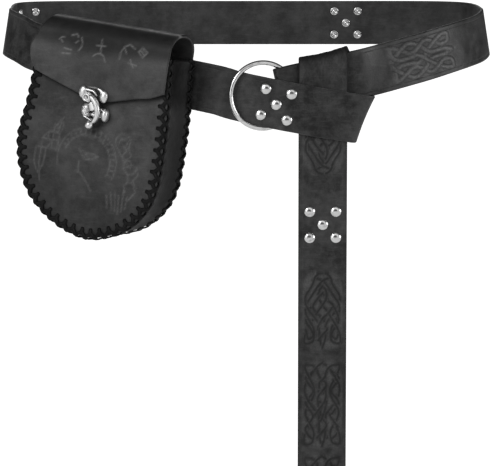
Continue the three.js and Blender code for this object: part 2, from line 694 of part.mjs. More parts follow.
// Two leather loops on the back panel hold the pouch on the strap.
const LOOP_MIDDLE = -35; // middle of the strap behind the pouch, up from the origin
const LOOP_TAB = 9; // length of a loop's lower end, flat on the panel
const LOOP_RISE = 3; // how far a loop's lower end slopes in to the panel
function beltLoop(across) {
  const half = (STRAP_WIDTH + LOOP_SLACK) / 2;
  const away = LEATHER / 2 + CLEARANCE + LOOP_LEATHER / 2;
  const offStrap = -(STRAP_THICKNESS / 2 + 2 * LAYER_GAP + LOOP_LEATHER / 2);
  const foot = LOOP_MIDDLE - half - LOOP_RISE;
  const run = [
    archPlace(radians(38), away),
    archPlace(radians(24), away),
    archPlace(radians(10), away),
    { up: LOOP_MIDDLE + half, out: offStrap },
    { up: LOOP_MIDDLE - half, out: offStrap },
    { up: foot, out: REAR_OUT - away },
    { up: foot - LOOP_TAB, out: REAR_OUT - away },
  ];
  return sheetSolid(
    run.map((row, i) => {
      const before = run[Math.max(i - 1, 0)];
      const after = run[Math.min(i + 1, run.length - 1)];
      const slope = new THREE.Vector2(after.up - before.up, after.out - before.out).normalize();
      const side = (out) =>
        [-0.5, 0.5].map((share) =>
          pouchPoint(across + share * LOOP_WIDTH, row.out + slope.x * out, row.up - slope.y * out),
        );
      return { outer: side(LOOP_LEATHER / 2), inner: side(-LOOP_LEATHER / 2) };
    }),
  );
}
addMesh(pouch, "belt_loop_left", beltLoop(PANEL_MIDDLE - LOOP_SPACING / 2), blackLeather);
addMesh(pouch, "belt_loop_right", beltLoop(PANEL_MIDDLE + LOOP_SPACING / 2), blackLeather);

// The swing clasp: a plate on the flap, a lever that turns on its pin, and a catch on the front panel.
// Places are drawn from the pivot, in millimetres to the right and up.
const clasp = new THREE.Group();
clasp.position.copy(pouchPoint(PIVOT_ACROSS, 0, PIVOT_UP));
pouch.add(clasp);
const PIN_HEAD_HEIGHT = 0.9;
const PIN_HEAD_OVERHANG = 0.7;
const EYE_RADIUS = 3.1; // of the lever's round end
const BOSS_RADIUS = EYE_RADIUS + 0.9;
const CATCH_LOW = 0.3; // share of the panel's rows at the lower edge of the catch
const PLATE_OUT = FLAP_OUT + LEATHER / 2 + CLEARANCE;
const LEVER_OUT = PLATE_OUT + LOBE_HEIGHT + CLEARANCE;
const LEVER_TOP = LEVER_OUT + LEVER_THICKNESS;
const CATCH_OUT = FRONT_OUT + LEATHER / 2 + FRONT_CROWN * swellAt(CATCH_LOW) + CLEARANCE;
const CATCH_HEIGHT = LEVER_OUT - CLEARANCE - CATCH_OUT;
const CATCH_KNOB = { across: 2.9, up: -12.8, halfWidth: 1.9, halfHeight: 1.9, height: LEVER_TOP - CATCH_OUT };
const PLATE_LOBES = [
  { across: -5.4, up: 2.9, halfWidth: 3.1, halfHeight: 3.1, height: LOBE_HEIGHT },
  { across: 13.3, up: 1.2, halfWidth: 3.2, halfHeight: 4, height: LOBE_HEIGHT },
];
const PLATE_BRIDGE = [
  { across: -5.4, up: 2.9, width: 3 },
  { across: 0, up: 4.6, width: 2.6 },
  { across: 6, up: 4.4, width: 2.6 },
  { across: 13.3, up: 1.2, width: 3 },
];
const LEVER_ARM = [
  { across: 0, up: 0, width: 4 },
  { across: 6.6, up: -3.4, width: 3.4 },
  { across: 9.9, up: -10.4, width: 3.6 },
  { across: 8.6, up: -17.2, width: 3 },
  { across: 4.2, up: -22.6, width: 2.4 },
];
const LEVER_CLAW = [
  { across: 9.6, up: -12.6, width: 2.4 },
  { across: 6.6, up: -13.2, width: 1.8 },
];
const LEVER_BALL = { across: 4.1, up: -22.8, halfWidth: 2.9, halfHeight: 2.9, height: 1.3 * LEVER_THICKNESS };
const CATCH_LOBES = [
  { across: -2.6, up: -11.4, halfWidth: 3.3, halfHeight: 3.9, height: CATCH_HEIGHT },
  { across: 16.6, up: -12.6, halfWidth: 3, halfHeight: 3.9, height: CATCH_HEIGHT },
];
const CATCH_BRIDGE = [
  { across: -2.6, up: -11.4, width: 4.6 },
  { across: 7, up: -13, width: 6 },
  { across: 16.6, up: -12.6, width: 4.6 },
];

// A bead of metal, flat at its back, which lies out by back.
function bead({ across, up, halfWidth, halfHeight, height }, back) {
  const ball = new THREE.SphereGeometry(1, 12, 8);
  ball.rotateX(Math.PI / 2);
  ball.scale(halfWidth, height, halfHeight);
  const solid = solidFrom(ball, new THREE.Matrix4().makeTranslation(across, -back, up));
  const keep = new THREE.BoxGeometry(4 * halfWidth, 2 * height, 4 * halfHeight);
  return solid.intersect(solidFrom(keep, new THREE.Matrix4().makeTranslation(across, -back - height, up)));
}

const BAR_STEPS = 10;
const BAR_BEVEL = 0.25; // share of a bar's half width that its front face stands in
// A flat bar through the rows' places, as wide as each row says; its back lies out by back.
function bar(rows, back, thickness) {
  const path = new THREE.CatmullRomCurve3(rows.map((row) => vec(row.across, 0, row.up)));
  const widths = new THREE.CatmullRomCurve3(rows.map((row, i) => vec(i, row.width, 0)));
  const stations = Array.from({ length: BAR_STEPS + 1 }, (_, step) => {
    const place = step / BAR_STEPS;
    const middle = path.getPoint(place);
    const heading = path.getTangent(place);
    const half = widths.getPoint(place).y / 2;
    const side = (out, reach) =>
      [-1, 1].map((sense) =>
        vec(middle.x - sense * heading.z * reach, -out, middle.z + sense * heading.x * reach),
      );
    return { outer: side(back + thickness, (1 - BAR_BEVEL) * half), inner: side(back, half) };
  });
  return solidFrom(sheetSolid(stations));
}

function disc(radius, back, front) {
  return solidFrom(
    new THREE.CylinderGeometry(radius, radius, front - back, 14),
    new THREE.Matrix4().makeTranslation(0, -(back + front) / 2, 0),
  );
}

const fuse = (solids) => solids.reduce((sum, solid) => sum.add(solid));

const plate = fuse([
  ...PLATE_LOBES.map((lobe) => bead(lobe, PLATE_OUT)),
  bar(PLATE_BRIDGE, PLATE_OUT, PLATE_THICKNESS),
  disc(BOSS_RADIUS, PLATE_OUT, PLATE_OUT + LOBE_HEIGHT),
  disc(PIN_DIAMETER / 2, PLATE_OUT, LEVER_TOP + CLEARANCE + PIN_HEAD_HEIGHT),
  disc(PIN_DIAMETER / 2 + PIN_HEAD_OVERHANG, LEVER_TOP + CLEARANCE, LEVER_TOP + CLEARANCE + PIN_HEAD_HEIGHT),
]);
addMesh(clasp, "clasp_plate", geometryFrom(plate), castSilver);

const lever = fuse([
  disc(EYE_RADIUS, LEVER_OUT, LEVER_TOP),
  bar(LEVER_ARM, LEVER_OUT, LEVER_THICKNESS),
  bar(LEVER_CLAW, LEVER_OUT, 0.8 * LEVER_THICKNESS),
  bead(LEVER_BALL, LEVER_OUT),
]).subtract(disc(PIN_DIAMETER / 2 + CLEARANCE, LEVER_OUT - CLEARANCE, LEVER_TOP + CLEARANCE));
addMesh(clasp, "clasp_lever", geometryFrom(lever), castSilver);

const hook = fuse([
  ...CATCH_LOBES.map((lobe) => bead(lobe, CATCH_OUT)),
  bead(CATCH_KNOB, CATCH_OUT),
  bar(CATCH_BRIDGE, CATCH_OUT, 0.6 * CATCH_HEIGHT),
]);
addMesh(clasp, "clasp_catch", geometryFrom(hook), castSilver);

export default assembly;
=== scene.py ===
import logging
import math
from dataclasses import dataclass, replace
from enum import Enum

import bpy
import numpy as np
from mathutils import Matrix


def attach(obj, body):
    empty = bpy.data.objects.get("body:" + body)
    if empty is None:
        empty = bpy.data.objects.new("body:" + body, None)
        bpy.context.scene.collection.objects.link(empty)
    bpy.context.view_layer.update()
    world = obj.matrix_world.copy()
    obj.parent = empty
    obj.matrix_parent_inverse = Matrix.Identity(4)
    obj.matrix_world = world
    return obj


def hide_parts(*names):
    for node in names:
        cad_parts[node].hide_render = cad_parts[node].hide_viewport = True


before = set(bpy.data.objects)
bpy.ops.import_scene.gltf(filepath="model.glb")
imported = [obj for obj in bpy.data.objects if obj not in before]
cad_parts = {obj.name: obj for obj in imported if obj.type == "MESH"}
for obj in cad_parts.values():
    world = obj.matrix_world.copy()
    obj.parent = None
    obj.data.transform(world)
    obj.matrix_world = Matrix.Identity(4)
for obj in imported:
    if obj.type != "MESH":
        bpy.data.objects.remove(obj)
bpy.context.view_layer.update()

LOG = logging.getLogger("belt_pouch")
UP = np.array([0.0, 0.0, 1.0])
TO_METRES = 0.001
MM_PER_METRE = 1000


class Body(Enum):
    """The bodies that the pieces ride on."""

    POUCH_AND_BELT = "pouch_and_belt"
    LEVER = "lever"


class Slot(Enum):
    """The record's material slots."""

    BLACK_LEATHER = "black_leather"
    FLAP_LEATHER = "flap_leather"
    LACE = "lace"
    POLISHED_STEEL = "polished_steel"
    CAST_SILVER = "cast_silver"


# Numbers


def unit(vectors: np.ndarray) -> np.ndarray:
    """Scales vectors to length one."""
    return vectors / np.maximum(np.linalg.norm(vectors, axis=-1, keepdims=True), 1e-12)


def smooth_step(low: float, high: float, values: np.ndarray) -> np.ndarray:
    """Goes smoothly from 0 at low to 1 at high."""
    share = np.clip((values - low) / (high - low), 0, 1)
    return share * share * (3 - 2 * share)


def centripetal(points: np.ndarray, places: np.ndarray) -> np.ndarray:
    """Follows a centripetal Catmull-Rom curve.

    Args:
        points: The curve's points, one row each.
        places: Places along the curve from 0 to 1.

    Returns:
        One point for each place.
    """
    points = np.asarray(points, float)
    padded = np.vstack([2 * points[0] - points[1], points, 2 * points[-1] - points[-2]])
    row = np.clip(places, 0, 1) * (len(points) - 1)
    before = np.minimum(row.astype(int), len(points) - 2)
    share = (row - before)[:, None]
    a, b, c, d = (padded[before + k] for k in range(4))
    pairs = ((a, b), (b, c), (c, d))
    gap = [np.maximum(np.linalg.norm(q - p, axis=1, keepdims=True) ** 0.5, 1e-4) for p, q in pairs]
    start = ((b - a) / gap[0] - (c - a) / (gap[0] + gap[1]) + (c - b) / gap[1]) * gap[1]
    end = ((c - b) / gap[1] - (d - b) / (gap[1] + gap[2]) + (d - c) / gap[2]) * gap[1]
    square = -3 * b + 3 * c - 2 * start - end
    cube = 2 * b - 2 * c + start + end
    return b + start * share + square * share**2 + cube * share**3


def spaced(points: np.ndarray, step: float) -> np.ndarray:
    """Sets a line's points at even distances.

    Args:
        points: The line's points, one row each.
        step: About how far apart the new points lie.

    Returns:
        The new points.
    """
    travelled = np.concatenate([[0], np.cumsum(np.linalg.norm(np.diff(points, axis=0), axis=1))])
    at = np.linspace(0, travelled[-1], max(int(round(travelled[-1] / step)), 1) + 1)
    return np.stack([np.interp(at, travelled, points[:, k]) for k in range(points.shape[1])], 1)


def distance_to_line(places: np.ndarray, line: np.ndarray) -> np.ndarray:
    """Measures how far flat places lie from a line of points.

    Args:
        places: Places, with two numbers in the last axis.
        line: The line's points, one row each.

    Returns:
        The least distance of each place.
    """
    least = np.full(places.shape[:-1], np.inf)
    for start, end in zip(line[:-1], line[1:]):
        step = end - start
        share = np.clip(((places - start) @ step) / max(step @ step, 1e-9), 0, 1)
        least = np.minimum(least, np.linalg.norm(places - start - share[..., None] * step, axis=-1))
    return least


# Ornament


@dataclass(frozen=True)
class Interlace:
    """A knot of raised strands on flat leather, drawn across to the right and down."""

    strands: tuple[tuple[tuple[float, float], ...], ...]
    width: float = 3.3
    gap: float = 0.55
    middle_column: float = 5.5
    groove_from_strand: float = 0.35
    groove_spread: float = 0.45
    groove_depth: float = 0.55

    def lines(self) -> list[np.ndarray]:
        """Draws every strand as a smooth line, and its mirror image."""
        lines = []
        for strand in self.strands:
            points = np.array(strand, float)
            line = spaced(centripetal(points, np.linspace(0, 1, 8 * len(points))), 1.0)
            lines += [line, line * [-1, 1]]
        return lines

    def crossings(self, lines: list[np.ndarray]) -> list[tuple[np.ndarray, int, int]]:
        """Finds where strands cross.

        Args:
            lines: The strands' lines.

        Returns:
            The place of each crossing, and the line and step of the strand that passes over.
        """
        found = []
        steps = [(i, k, line[k], line[k + 1]) for i, line in enumerate(lines) for k in range(len(line) - 1)]
        starts = np.array([step[2] for step in steps])
        runs = np.array([step[3] for step in steps]) - starts
        for one, (i, k, start, _) in enumerate(steps):
            run = runs[one]
            across = run[0] * runs[:, 1] - run[1] * runs[:, 0]
            offset = starts - start
            with np.errstate(divide="ignore", invalid="ignore"):
                here = (offset[:, 0] * runs[:, 1] - offset[:, 1] * runs[:, 0]) / across
                there = (offset[:, 0] * run[1] - offset[:, 1] * run[0]) / across
            for two in np.nonzero((here >= 0) & (here < 1) & (there >= 0) & (there < 1))[0]:
                j, m = steps[two][:2]
                if two <= one or (i == j and abs(k - m) < 4):
                    continue
                place = start + here[two] * run
                falls = run[0] * run[1] > 0
                first_over = falls == (abs(place[0]) > self.middle_column)
                found.append((place, i, k) if first_over else (place, j, m))
        return found

    def height(self, places: np.ndarray) -> np.ndarray:
        """Works out the relief.

        Args:
            places: Places on the leather, across and down in the last axis.

        Returns:
            1 on top of a strand, 0 on the ground and below 0 in the groove beside a strand.
        """
        half = self.width / 2
        lines = self.lines()

        def relief(distance: np.ndarray) -> np.ndarray:
            """Gives the relief at a distance from a strand's middle."""
            strand = np.sqrt(np.clip(1 - (distance / half) ** 2, 0, 1))
            groove = np.exp(-(((distance - half - self.groove_from_strand) / self.groove_spread) ** 2))
            return strand - self.groove_depth * groove * (strand <= 0.3)

        distances = np.array([distance_to_line(places, line) for line in lines])
        nearest = distances.min(0)
        height = relief(nearest)
        for place, line, step in self.crossings(lines):
            near = np.linalg.norm(places - place, axis=-1) < half + self.gap + 1.6
            if near.any():
                over = distance_to_line(places[near], lines[line][max(step - 4, 0) : step + 6])
                height[near] = np.where(over < half + self.gap, relief(over), height[near])
        return height


@dataclass(frozen=True)
class Marks:
    """Shallow strokes pressed into leather, drawn across to the right and up."""

    strokes: tuple[tuple[tuple[float, float], ...], ...]
    width: float = 0.75

    def strength(self, places: np.ndarray) -> np.ndarray:
        """Says how strongly places are marked.

        Args:
            places: Places on the leather, across and up in the last axis.

        Returns:
            1 on a stroke and 0 away from it.
        """
        total = np.zeros(places.shape[:-1])
        for stroke in self.strokes:
            points = np.array(stroke, float)
            low, high = points.min(0) - 4, points.max(0) + 4
            near = ((places > low) & (places < high)).all(-1)
            if near.any():
                away = distance_to_line(places[near], points)
                total[near] = np.maximum(total[near], np.exp(-((away / self.width) ** 2)))
        return total


# Meshes


@dataclass
class Form:
    """A mesh in the making: points, faces of one size each, and values at the points."""

    points: np.ndarray
    faces: list[np.ndarray]
    values: dict[str, np.ndarray]

    @staticmethod
    def joined(forms: list["Form"]) -> "Form":
        """Puts several forms into one, with the values that all of them have."""
        offsets = np.cumsum([0] + [len(form.points) for form in forms])
        faces = [face + offset for form, offset in zip(forms, offsets) for face in form.faces]
        names = set.intersection(*(set(form.values) for form in forms))
        values = {name: np.concatenate([form.values[name] for form in forms]) for name in sorted(names)}
        return Form(np.concatenate([form.points for form in forms]), faces, values)

    def moved(self, place: "Placement") -> "Form":
        """Gives the same form in another frame."""
        return Form(place.world(self.points), self.faces, self.values)

    def mesh(self, name: str) -> bpy.types.Mesh:
        """Makes Blender's mesh of it, in metres.

        Args:
            name: The mesh's name.

        Returns:
            The smooth-shaded mesh.
        """
        mesh = bpy.data.meshes.new(name)
        sizes = np.concatenate([np.full(len(face), face.shape[1]) for face in self.faces])
        corners = np.concatenate([face.ravel() for face in self.faces])
        mesh.vertices.add(len(self.points))
        mesh.vertices.foreach_set("co", (self.points * TO_METRES).astype(np.float32).ravel())
        mesh.loops.add(len(corners))
        mesh.loops.foreach_set("vertex_index", corners.astype(np.int32))
        mesh.polygons.add(len(sizes))
        mesh.polygons.foreach_set("loop_start", (np.cumsum(sizes) - sizes).astype(np.int32))
        mesh.polygons.foreach_set("use_smooth", np.ones(len(sizes), bool))
        for key, value in self.values.items():
            kind = "FLOAT" if value.ndim == 1 else "FLOAT_VECTOR"
            layer = mesh.attributes.new(key, kind, "POINT")
            field = "value" if value.ndim == 1 else "vector"
            layer.data.foreach_set(field, value.astype(np.float32).ravel())
        mesh.update(calc_edges=True)
        mesh.validate()
        return mesh


@dataclass(frozen=True)
class Placement:
    """A frame of its own: three directions as the rows of a matrix, and the place of its origin."""

    rows: tuple[tuple[float, float, float], ...]
    origin: tuple[float, float, float]

    def world(self, points: np.ndarray) -> np.ndarray:
        """Turns places of this frame into places of the whole."""
        return points @ np.array(self.rows) + np.array(self.origin)


def grid_faces(indices: np.ndarray, flipped: bool = False) -> np.ndarray:
    """Makes the four-cornered faces of a grid.

    Args:
        indices: The grid's point numbers.
        flipped: Turns the faces round.

    Returns:
        The faces, one row each.
    """
    corners = (indices[:-1, :-1], indices[:-1, 1:], indices[1:, 1:], indices[1:, :-1])
    faces = np.stack(corners, -1).reshape(-1, 4)
    return faces[:, ::-1] if flipped else faces


def leather_sheet(
    middle: np.ndarray,
    edge: np.ndarray,
    thickness: float,
    rounding: float = 1.0,
    relief: np.ndarray | None = None,
    values: dict[str, np.ndarray] | None = None,
    outward: np.ndarray | None = None,
) -> Form:
    """Makes a closed sheet of leather with rounded edges.

    Args:
        middle: The sheet's middle surface as a grid of points.
        edge: How far each grid point lies from the sheet's edge.
        thickness: The leather's thickness.
        rounding: How far in from the edge the rounding starts.
        relief: How far the grain side stands out at each grid point.
        values: Values at the grid points that the finish reads.
        outward: The direction that the grain side faces; worked out from the grid where it isn't given.

    Returns:
        The sheet. Its value named flesh is 1 on the side away from the grain.
    """
    rows, columns = middle.shape[:2]
    if outward is None:
        outward = unit(np.cross(np.gradient(middle, axis=0), np.gradient(middle, axis=1)))
    share = np.clip(edge / rounding, 0, 1)
    half = thickness / 2 * np.sqrt(np.clip(1 - (1 - share) ** 2, 0, 1))[..., None]
    rise = half if relief is None else half + relief[..., None] * share[..., None]
    front = middle + outward * rise
    back = (middle - outward * half)[1:-1, 1:-1]
    front_index = np.arange(rows * columns).reshape(rows, columns)
    back_index = front_index.copy()
    inside = np.arange((rows - 2) * (columns - 2)).reshape(rows - 2, columns - 2)
    back_index[1:-1, 1:-1] = rows * columns + inside
    points = np.concatenate([front.reshape(-1, 3), back.reshape(-1, 3)])
    first = front[rows // 2, columns // 2]
    turn = np.cross(front[rows // 2, columns // 2 + 1] - first, front[rows // 2 + 1, columns // 2] - first)
    outwards = turn @ outward[rows // 2, columns // 2] > 0
    faces = [grid_faces(front_index, not outwards), grid_faces(back_index, outwards)]
    stored = {"edge": edge, **(values or {})}
    out = {}
    for key, value in stored.items():
        inner = value[1:-1, 1:-1].reshape(-1, *value.shape[2:])
        out[key] = np.concatenate([value.reshape(-1, *value.shape[2:]), inner])
    out["flesh"] = np.concatenate([np.zeros(rows * columns), np.ones(len(back.reshape(-1, 3)))])
    return Form(points, faces, out)


def end_fans(wrapped: np.ndarray, first: int, last: int) -> np.ndarray:
    """Makes the triangles that close a tube at both ends.

    Args:
        wrapped: The point numbers of its rings; each ring ends with its first point again.
        first: The number of the point in the middle of the first ring.
        last: The number of the point in the middle of the last ring.

    Returns:
        The triangles.
    """
    around = wrapped.shape[1] - 1
    begin = np.stack([wrapped[0, 1:], wrapped[0, :-1], np.full(around, first)], 1)
    finish = np.stack([wrapped[-1, :-1], wrapped[-1, 1:], np.full(around, last)], 1)
    return np.concatenate([begin, finish])


def swept(path: np.ndarray, out: np.ndarray, section: np.ndarray, scale: np.ndarray | None = None) -> Form:
    """Sweeps a closed section along a path and closes both ends.

    Args:
        path: The path's points.
        out: For each point the direction that the section's second axis follows.
        section: The section's points, sideways and out.
        scale: For each path point how much of the section's size it has, sideways and out.

    Returns:
        The swept form.
    """
    heading = unit(np.gradient(path, axis=0))
    side = unit(np.cross(heading, out))
    lift = np.cross(side, heading)
    size = np.ones((len(path), 2)) if scale is None else scale
    spread = size[:, None, 0, None] * section[None, :, 0, None] * side[:, None]
    raised = size[:, None, 1, None] * section[None, :, 1, None] * lift[:, None]
    rings = path[:, None] + spread + raised
    count, around = rings.shape[:2]
    index = np.arange(count * around).reshape(count, around)
    wrapped = np.concatenate([index, index[:, :1]], 1)
    points = np.concatenate([rings.reshape(-1, 3), path[:1], path[-1:]])
    fans = end_fans(wrapped, count * around, count * around + 1)
    return Form(points, [grid_faces(wrapped), fans], {})


def turned(profile: np.ndarray, sides: int) -> Form:
    """Turns a profile round the Z axis.

    Args:
        profile: Its points, radius and height, with a radius of 0 at both ends.
        sides: How many sides the round form has.

    Returns:
        The turned form.
    """
    angle = np.linspace(0, 2 * math.pi, sides, endpoint=False)
    rings = profile[1:-1]
    circle = np.stack([np.cos(angle), np.sin(angle)], 1)
    body = np.concatenate([rings[:, None, :1] * circle, np.repeat(rings[:, None, 1:], sides, 1)], 2)
    index = np.arange(len(rings) * sides).reshape(len(rings), sides)
    wrapped = np.concatenate([index, index[:, :1]], 1)
    poles = np.array([[0, 0, profile[0, 1]], [0, 0, profile[-1, 1]]])
    fans = end_fans(wrapped, len(rings) * sides, len(rings) * sides + 1)
    return Form(np.concatenate([body.reshape(-1, 3), poles]), [grid_faces(wrapped), fans], {})


# Finishes


class Signal:
    """A socket of a node tree that can be reckoned with: an expression adds its Math nodes."""

    def __init__(self, tree: "Tree", socket: bpy.types.NodeSocket) -> None:
        """Wraps a socket of a tree."""
        self.tree = tree
        self.socket = socket

    def maths(
        self, operation: str, other: "Signal | float", swapped: bool = False, clamp: bool = False
    ) -> "Signal":
        """Adds a Math node.

        Args:
            operation: Blender's name of the operation.
            other: The second value.
            swapped: Puts the second value first.
            clamp: Keeps the result between 0 and 1.

        Returns:
            The node's value.
        """
        settings = {"operation": operation, "use_clamp": clamp}
        values = (other, self) if swapped else (self, other)
        return self.tree.add("ShaderNodeMath", settings, dict(enumerate(values)))

    def __add__(self, other: "Signal | float") -> "Signal":
        """Adds."""
        return self.maths("ADD", other)

    __radd__ = __add__

    def __sub__(self, other: "Signal | float") -> "Signal":
        """Takes away."""
        return self.maths("SUBTRACT", other)

    def __rsub__(self, other: "Signal | float") -> "Signal":
        """Takes this from another value."""
        return self.maths("SUBTRACT", other, swapped=True)

    def __mul__(self, other: "Signal | float") -> "Signal":
        """Multiplies."""
        return self.maths("MULTIPLY", other)

    __rmul__ = __mul__

    def __abs__(self) -> "Signal":
        """Takes the sign away."""
        return self.maths("ABSOLUTE", 0.0)

    def clamped(self) -> "Signal":
        """Keeps the value between 0 and 1."""
        return self.maths("ADD", 0.0, clamp=True)

    def between(self, low: float, high: float) -> "Signal":
        """Goes smoothly from 0 at low to 1 at high."""
        inputs = {"Value": self, "From Min": low, "From Max": high}
        return self.tree.add("ShaderNodeMapRange", {"interpolation_type": "SMOOTHSTEP"}, inputs)


class Tree:
    """The nodes of a material or of the surroundings, with one shader that is filled in."""

    def __init__(self, owner: bpy.types.Material | bpy.types.World) -> None:
        """Starts on a new material or new surroundings."""
        owner.use_nodes = True
        self.nodes = owner.node_tree.nodes
        self.links = owner.node_tree.links
        self.shader = self.nodes.get("Principled BSDF") or self.nodes.get("Background")

    def set(self, socket: bpy.types.NodeSocket, value: object) -> None:
        """Links a signal to a socket, or sets the socket's own value."""
        if isinstance(value, Signal):
            self.links.new(value.socket, socket)
        else:
            socket.default_value = value

    def add(
        self, kind: str, settings: dict | None = None, inputs: dict | None = None, output: int | str = 0
    ) -> Signal:
        """Adds a node.

        Args:
            kind: The node's type.
            settings: Its settings, which are set first.
            inputs: The values or links of its sockets.
            output: Which of its outputs to give.

        Returns:
            That output.
        """
        node = self.nodes.new(kind)
        for key, value in (settings or {}).items():
            setattr(node, key, value)
        for key, value in (inputs or {}).items():
            self.set(node.inputs[key], value)
        return Signal(self, node.outputs[output])

    def place(self) -> Signal:
        """Gives places on the piece itself, in metres."""
        return self.add("ShaderNodeTexCoord", output="Object")

    def noise(
        self, size: float, detail: float, stretch: tuple[float, float, float] | None = None
    ) -> Signal:
        """Gives cloudy noise.

        Args:
            size: How large its patches are, in millimetres.
            detail: How many finer layers it has.
            stretch: How much closer it varies along each axis.

        Returns:
            Its value from 0 to 1.
        """
        where = self.place()
        if stretch:
            where = self.add("ShaderNodeVectorMath", {"operation": "MULTIPLY"}, {0: where, 1: stretch})
        inputs = {"Vector": where, "Scale": MM_PER_METRE / size, "Detail": detail, "Roughness": 0.55}
        return self.add("ShaderNodeTexNoise", {"noise_dimensions": "3D"}, inputs)

    def cells(self, size: float) -> Signal:
        """Gives the distance from the middle of leather's small round cells."""
        settings = {"feature": "SMOOTH_F1"}
        inputs = {"Vector": self.place(), "Scale": MM_PER_METRE / size, "Smoothness": 0.6}
        return self.add("ShaderNodeTexVoronoi", settings, inputs)

    def value(self, name: str) -> Signal:
        """Gives a value that the mesh carries."""
        return self.add("ShaderNodeAttribute", {"attribute_name": name}, output="Fac")

    def across(self, name: str, axis: int) -> Signal:
        """Gives one number of a vector that the mesh carries."""
        vector = self.add("ShaderNodeAttribute", {"attribute_name": name}, output="Vector")
        return self.add("ShaderNodeSeparateXYZ", inputs={0: vector}, output=axis)

    def blend(self, share: "Signal | float", first: object, second: object) -> Signal:
        """Mixes two colours."""
        return self.add("ShaderNodeMix", {"data_type": "RGBA"}, {0: share, 6: first, 7: second}, 2)

    def surface(self, colour: object, roughness: object, height: Signal, others: dict[str, float]) -> None:
        """Fills in the shader.

        Args:
            colour: The base colour.
            roughness: The roughness.
            height: The small relief, in millimetres.
            others: Values of the shader's other sockets.
        """
        self.set(self.shader.inputs["Base Color"], colour)
        self.set(self.shader.inputs["Roughness"], roughness)
        inputs = {"Strength": 1.0, "Distance": TO_METRES, "Height": height}
        bump = self.add("ShaderNodeBump", inputs=inputs, output="Normal")
        self.set(self.shader.inputs["Normal"], bump)
        for key, value in others.items():
            self.set(self.shader.inputs[key], value)


Colour = tuple[float, float, float, float]


def grey(value: float) -> Colour:
    """Gives a plain grey."""
    return (value, value, value, 1.0)


@dataclass(frozen=True)
class Cloud:
    """A layer of noise: its size and finer layers, where it goes from 0 to 1, and its stretch."""

    size: float
    detail: float
    low: float
    high: float
    stretch: tuple[float, float, float] | None = None

    def over(self, tree: Tree) -> Signal:
        """Gives its value from 0 to 1 over a piece."""
        return tree.noise(self.size, self.detail, self.stretch).between(self.low, self.high)


@dataclass(frozen=True)
class LeatherFinish:
    """Black leather: fine grain, clouded colour, worn lighter on its edges and its ornament, darkened by painted
    shade and by darker tooling where the mesh's values say so.
    """

    name: str
    slot: Slot
    deep: float
    worn: float
    roughness: float = 0.46
    grain: float = 1.3
    grain_depth: float = 0.05
    clouds: float = 45.0
    creased: bool = False
    rim: float = 0.14
    # The grey of pressed marks, and of the painted highlight along the flap's ridge.
    marked: float = 0.22
    # The grey that the darkening value leads to: mostly painted shade, and the darker colour of tooled strands.
    darkened: float = 0.003
    shine: float = 0.34
    crease_from_middle: float = 16.3
    crease_depth: float = 0.14
    crease_width: float = 0.55

    MOTTLE = Cloud(6, 4, 0.34, 0.68)
    PATCHES = Cloud(17, 3, 0.38, 0.62)
    STREAKS = Cloud(9, 4, 0.5, 0.75, (1, 1, 6))
    BREAKS = Cloud(2.2, 2, 0.36, 0.58)
    FIBRE_SIZE = 1.1

    def fill(self, tree: Tree) -> None:
        """Fills in a material from the mesh's values edge, flesh, flow if creased, the value of pressed marks and
        painted highlight, and the value of darker tooling and painted shade.
        """
        clouds = Cloud(self.clouds, 3, 0.36, 0.64).over(tree)
        mottle = self.MOTTLE.over(tree)
        fibre = tree.noise(self.FIBRE_SIZE, 3)
        flesh = tree.value("flesh")
        darkened = tree.value("dye").clamped()
        mark = tree.value("mark") * (1 - flesh)
        dye = darkened * (1 - flesh)
        share = 0.3 * clouds + 0.3 * self.PATCHES.over(tree) + 0.3 * mottle + 0.25 * self.STREAKS.over(tree)
        share = (share + 0.5 * (fibre - 0.5) - 0.08).clamped()
        colour = tree.blend(share, grey(self.deep), grey(self.worn))
        colour = tree.blend(flesh * 0.25, colour, grey(self.worn))
        scuffed = (1 - tree.value("edge").between(0.05, 0.5)) * (0.35 + 0.65 * mottle) * (1 - darkened)
        colour = tree.blend(scuffed.clamped(), colour, grey(self.rim))
        # Painted shade: the darkening value turns the leather near black where shadow falls between layers, under
        # the flap, round the clasp, in grooves and by the tail's fold.
        colour = tree.blend((dye * 0.85).clamped(), colour, grey(self.darkened))
        broken = 0.5 + 0.5 * self.BREAKS.over(tree)
        # Lighter where pressed marks run, and along the flap's ridge, where it is a painted highlight.
        colour = tree.blend((mark * broken).clamped(), colour, grey(self.marked))
        rough = self.roughness + 0.12 * (mottle - 0.5) - 0.1 * (clouds - 0.5) + 0.12 * flesh + 0.3 * dye
        grain = (1 - flesh) * self.grain_depth * (1 - tree.cells(self.grain))
        height = grain + 0.035 * fibre + 0.05 * mottle + 0.06 * flesh * fibre + 0.04 * mark
        if self.creased:
            beside = abs(abs(tree.across("flow", 1)) - self.crease_from_middle)
            height = height - self.crease_depth * (1 - beside.between(0.0, self.crease_width))
        tree.surface(colour, rough, height, {"Specular IOR Level": self.shine})


@dataclass(frozen=True)
class MetalFinish:
    """Bare metal: fine scratches, soft stains, and, where the piece has a value for them, dark tarnish in its
    hollows and painted shade at its foot.
    """

    name: str
    slot: Slot
    bright: float
    stained: float
    roughness: float
    dents: float = 0.02
    hollows: bool = False

    def fill(self, tree: Tree) -> None:
        """Fills in a material, which reads the mesh's value hollow if the piece has one."""
        stains = tree.noise(4, 4)
        scratches = tree.noise(0.8, 3, (1, 6, 1))
        colour = tree.blend(stains.between(0.5, 0.75) * 0.7, grey(self.bright), grey(self.stained))
        rough = self.roughness + 0.25 * (stains - 0.5) + 0.1 * (scratches - 0.5)
        height = self.dents * stains + 0.004 * scratches
        if self.hollows:
            # Tarnish in the hollows, and painted shade at the foot where the casting meets the leather.
            hollow = tree.value("hollow").between(0.1, 0.9)
            colour = tree.blend(hollow * 0.95, colour, grey(0.03))
            rough = rough + 0.3 * hollow
        tree.surface(colour, rough, height, {"Metallic": 1.0})


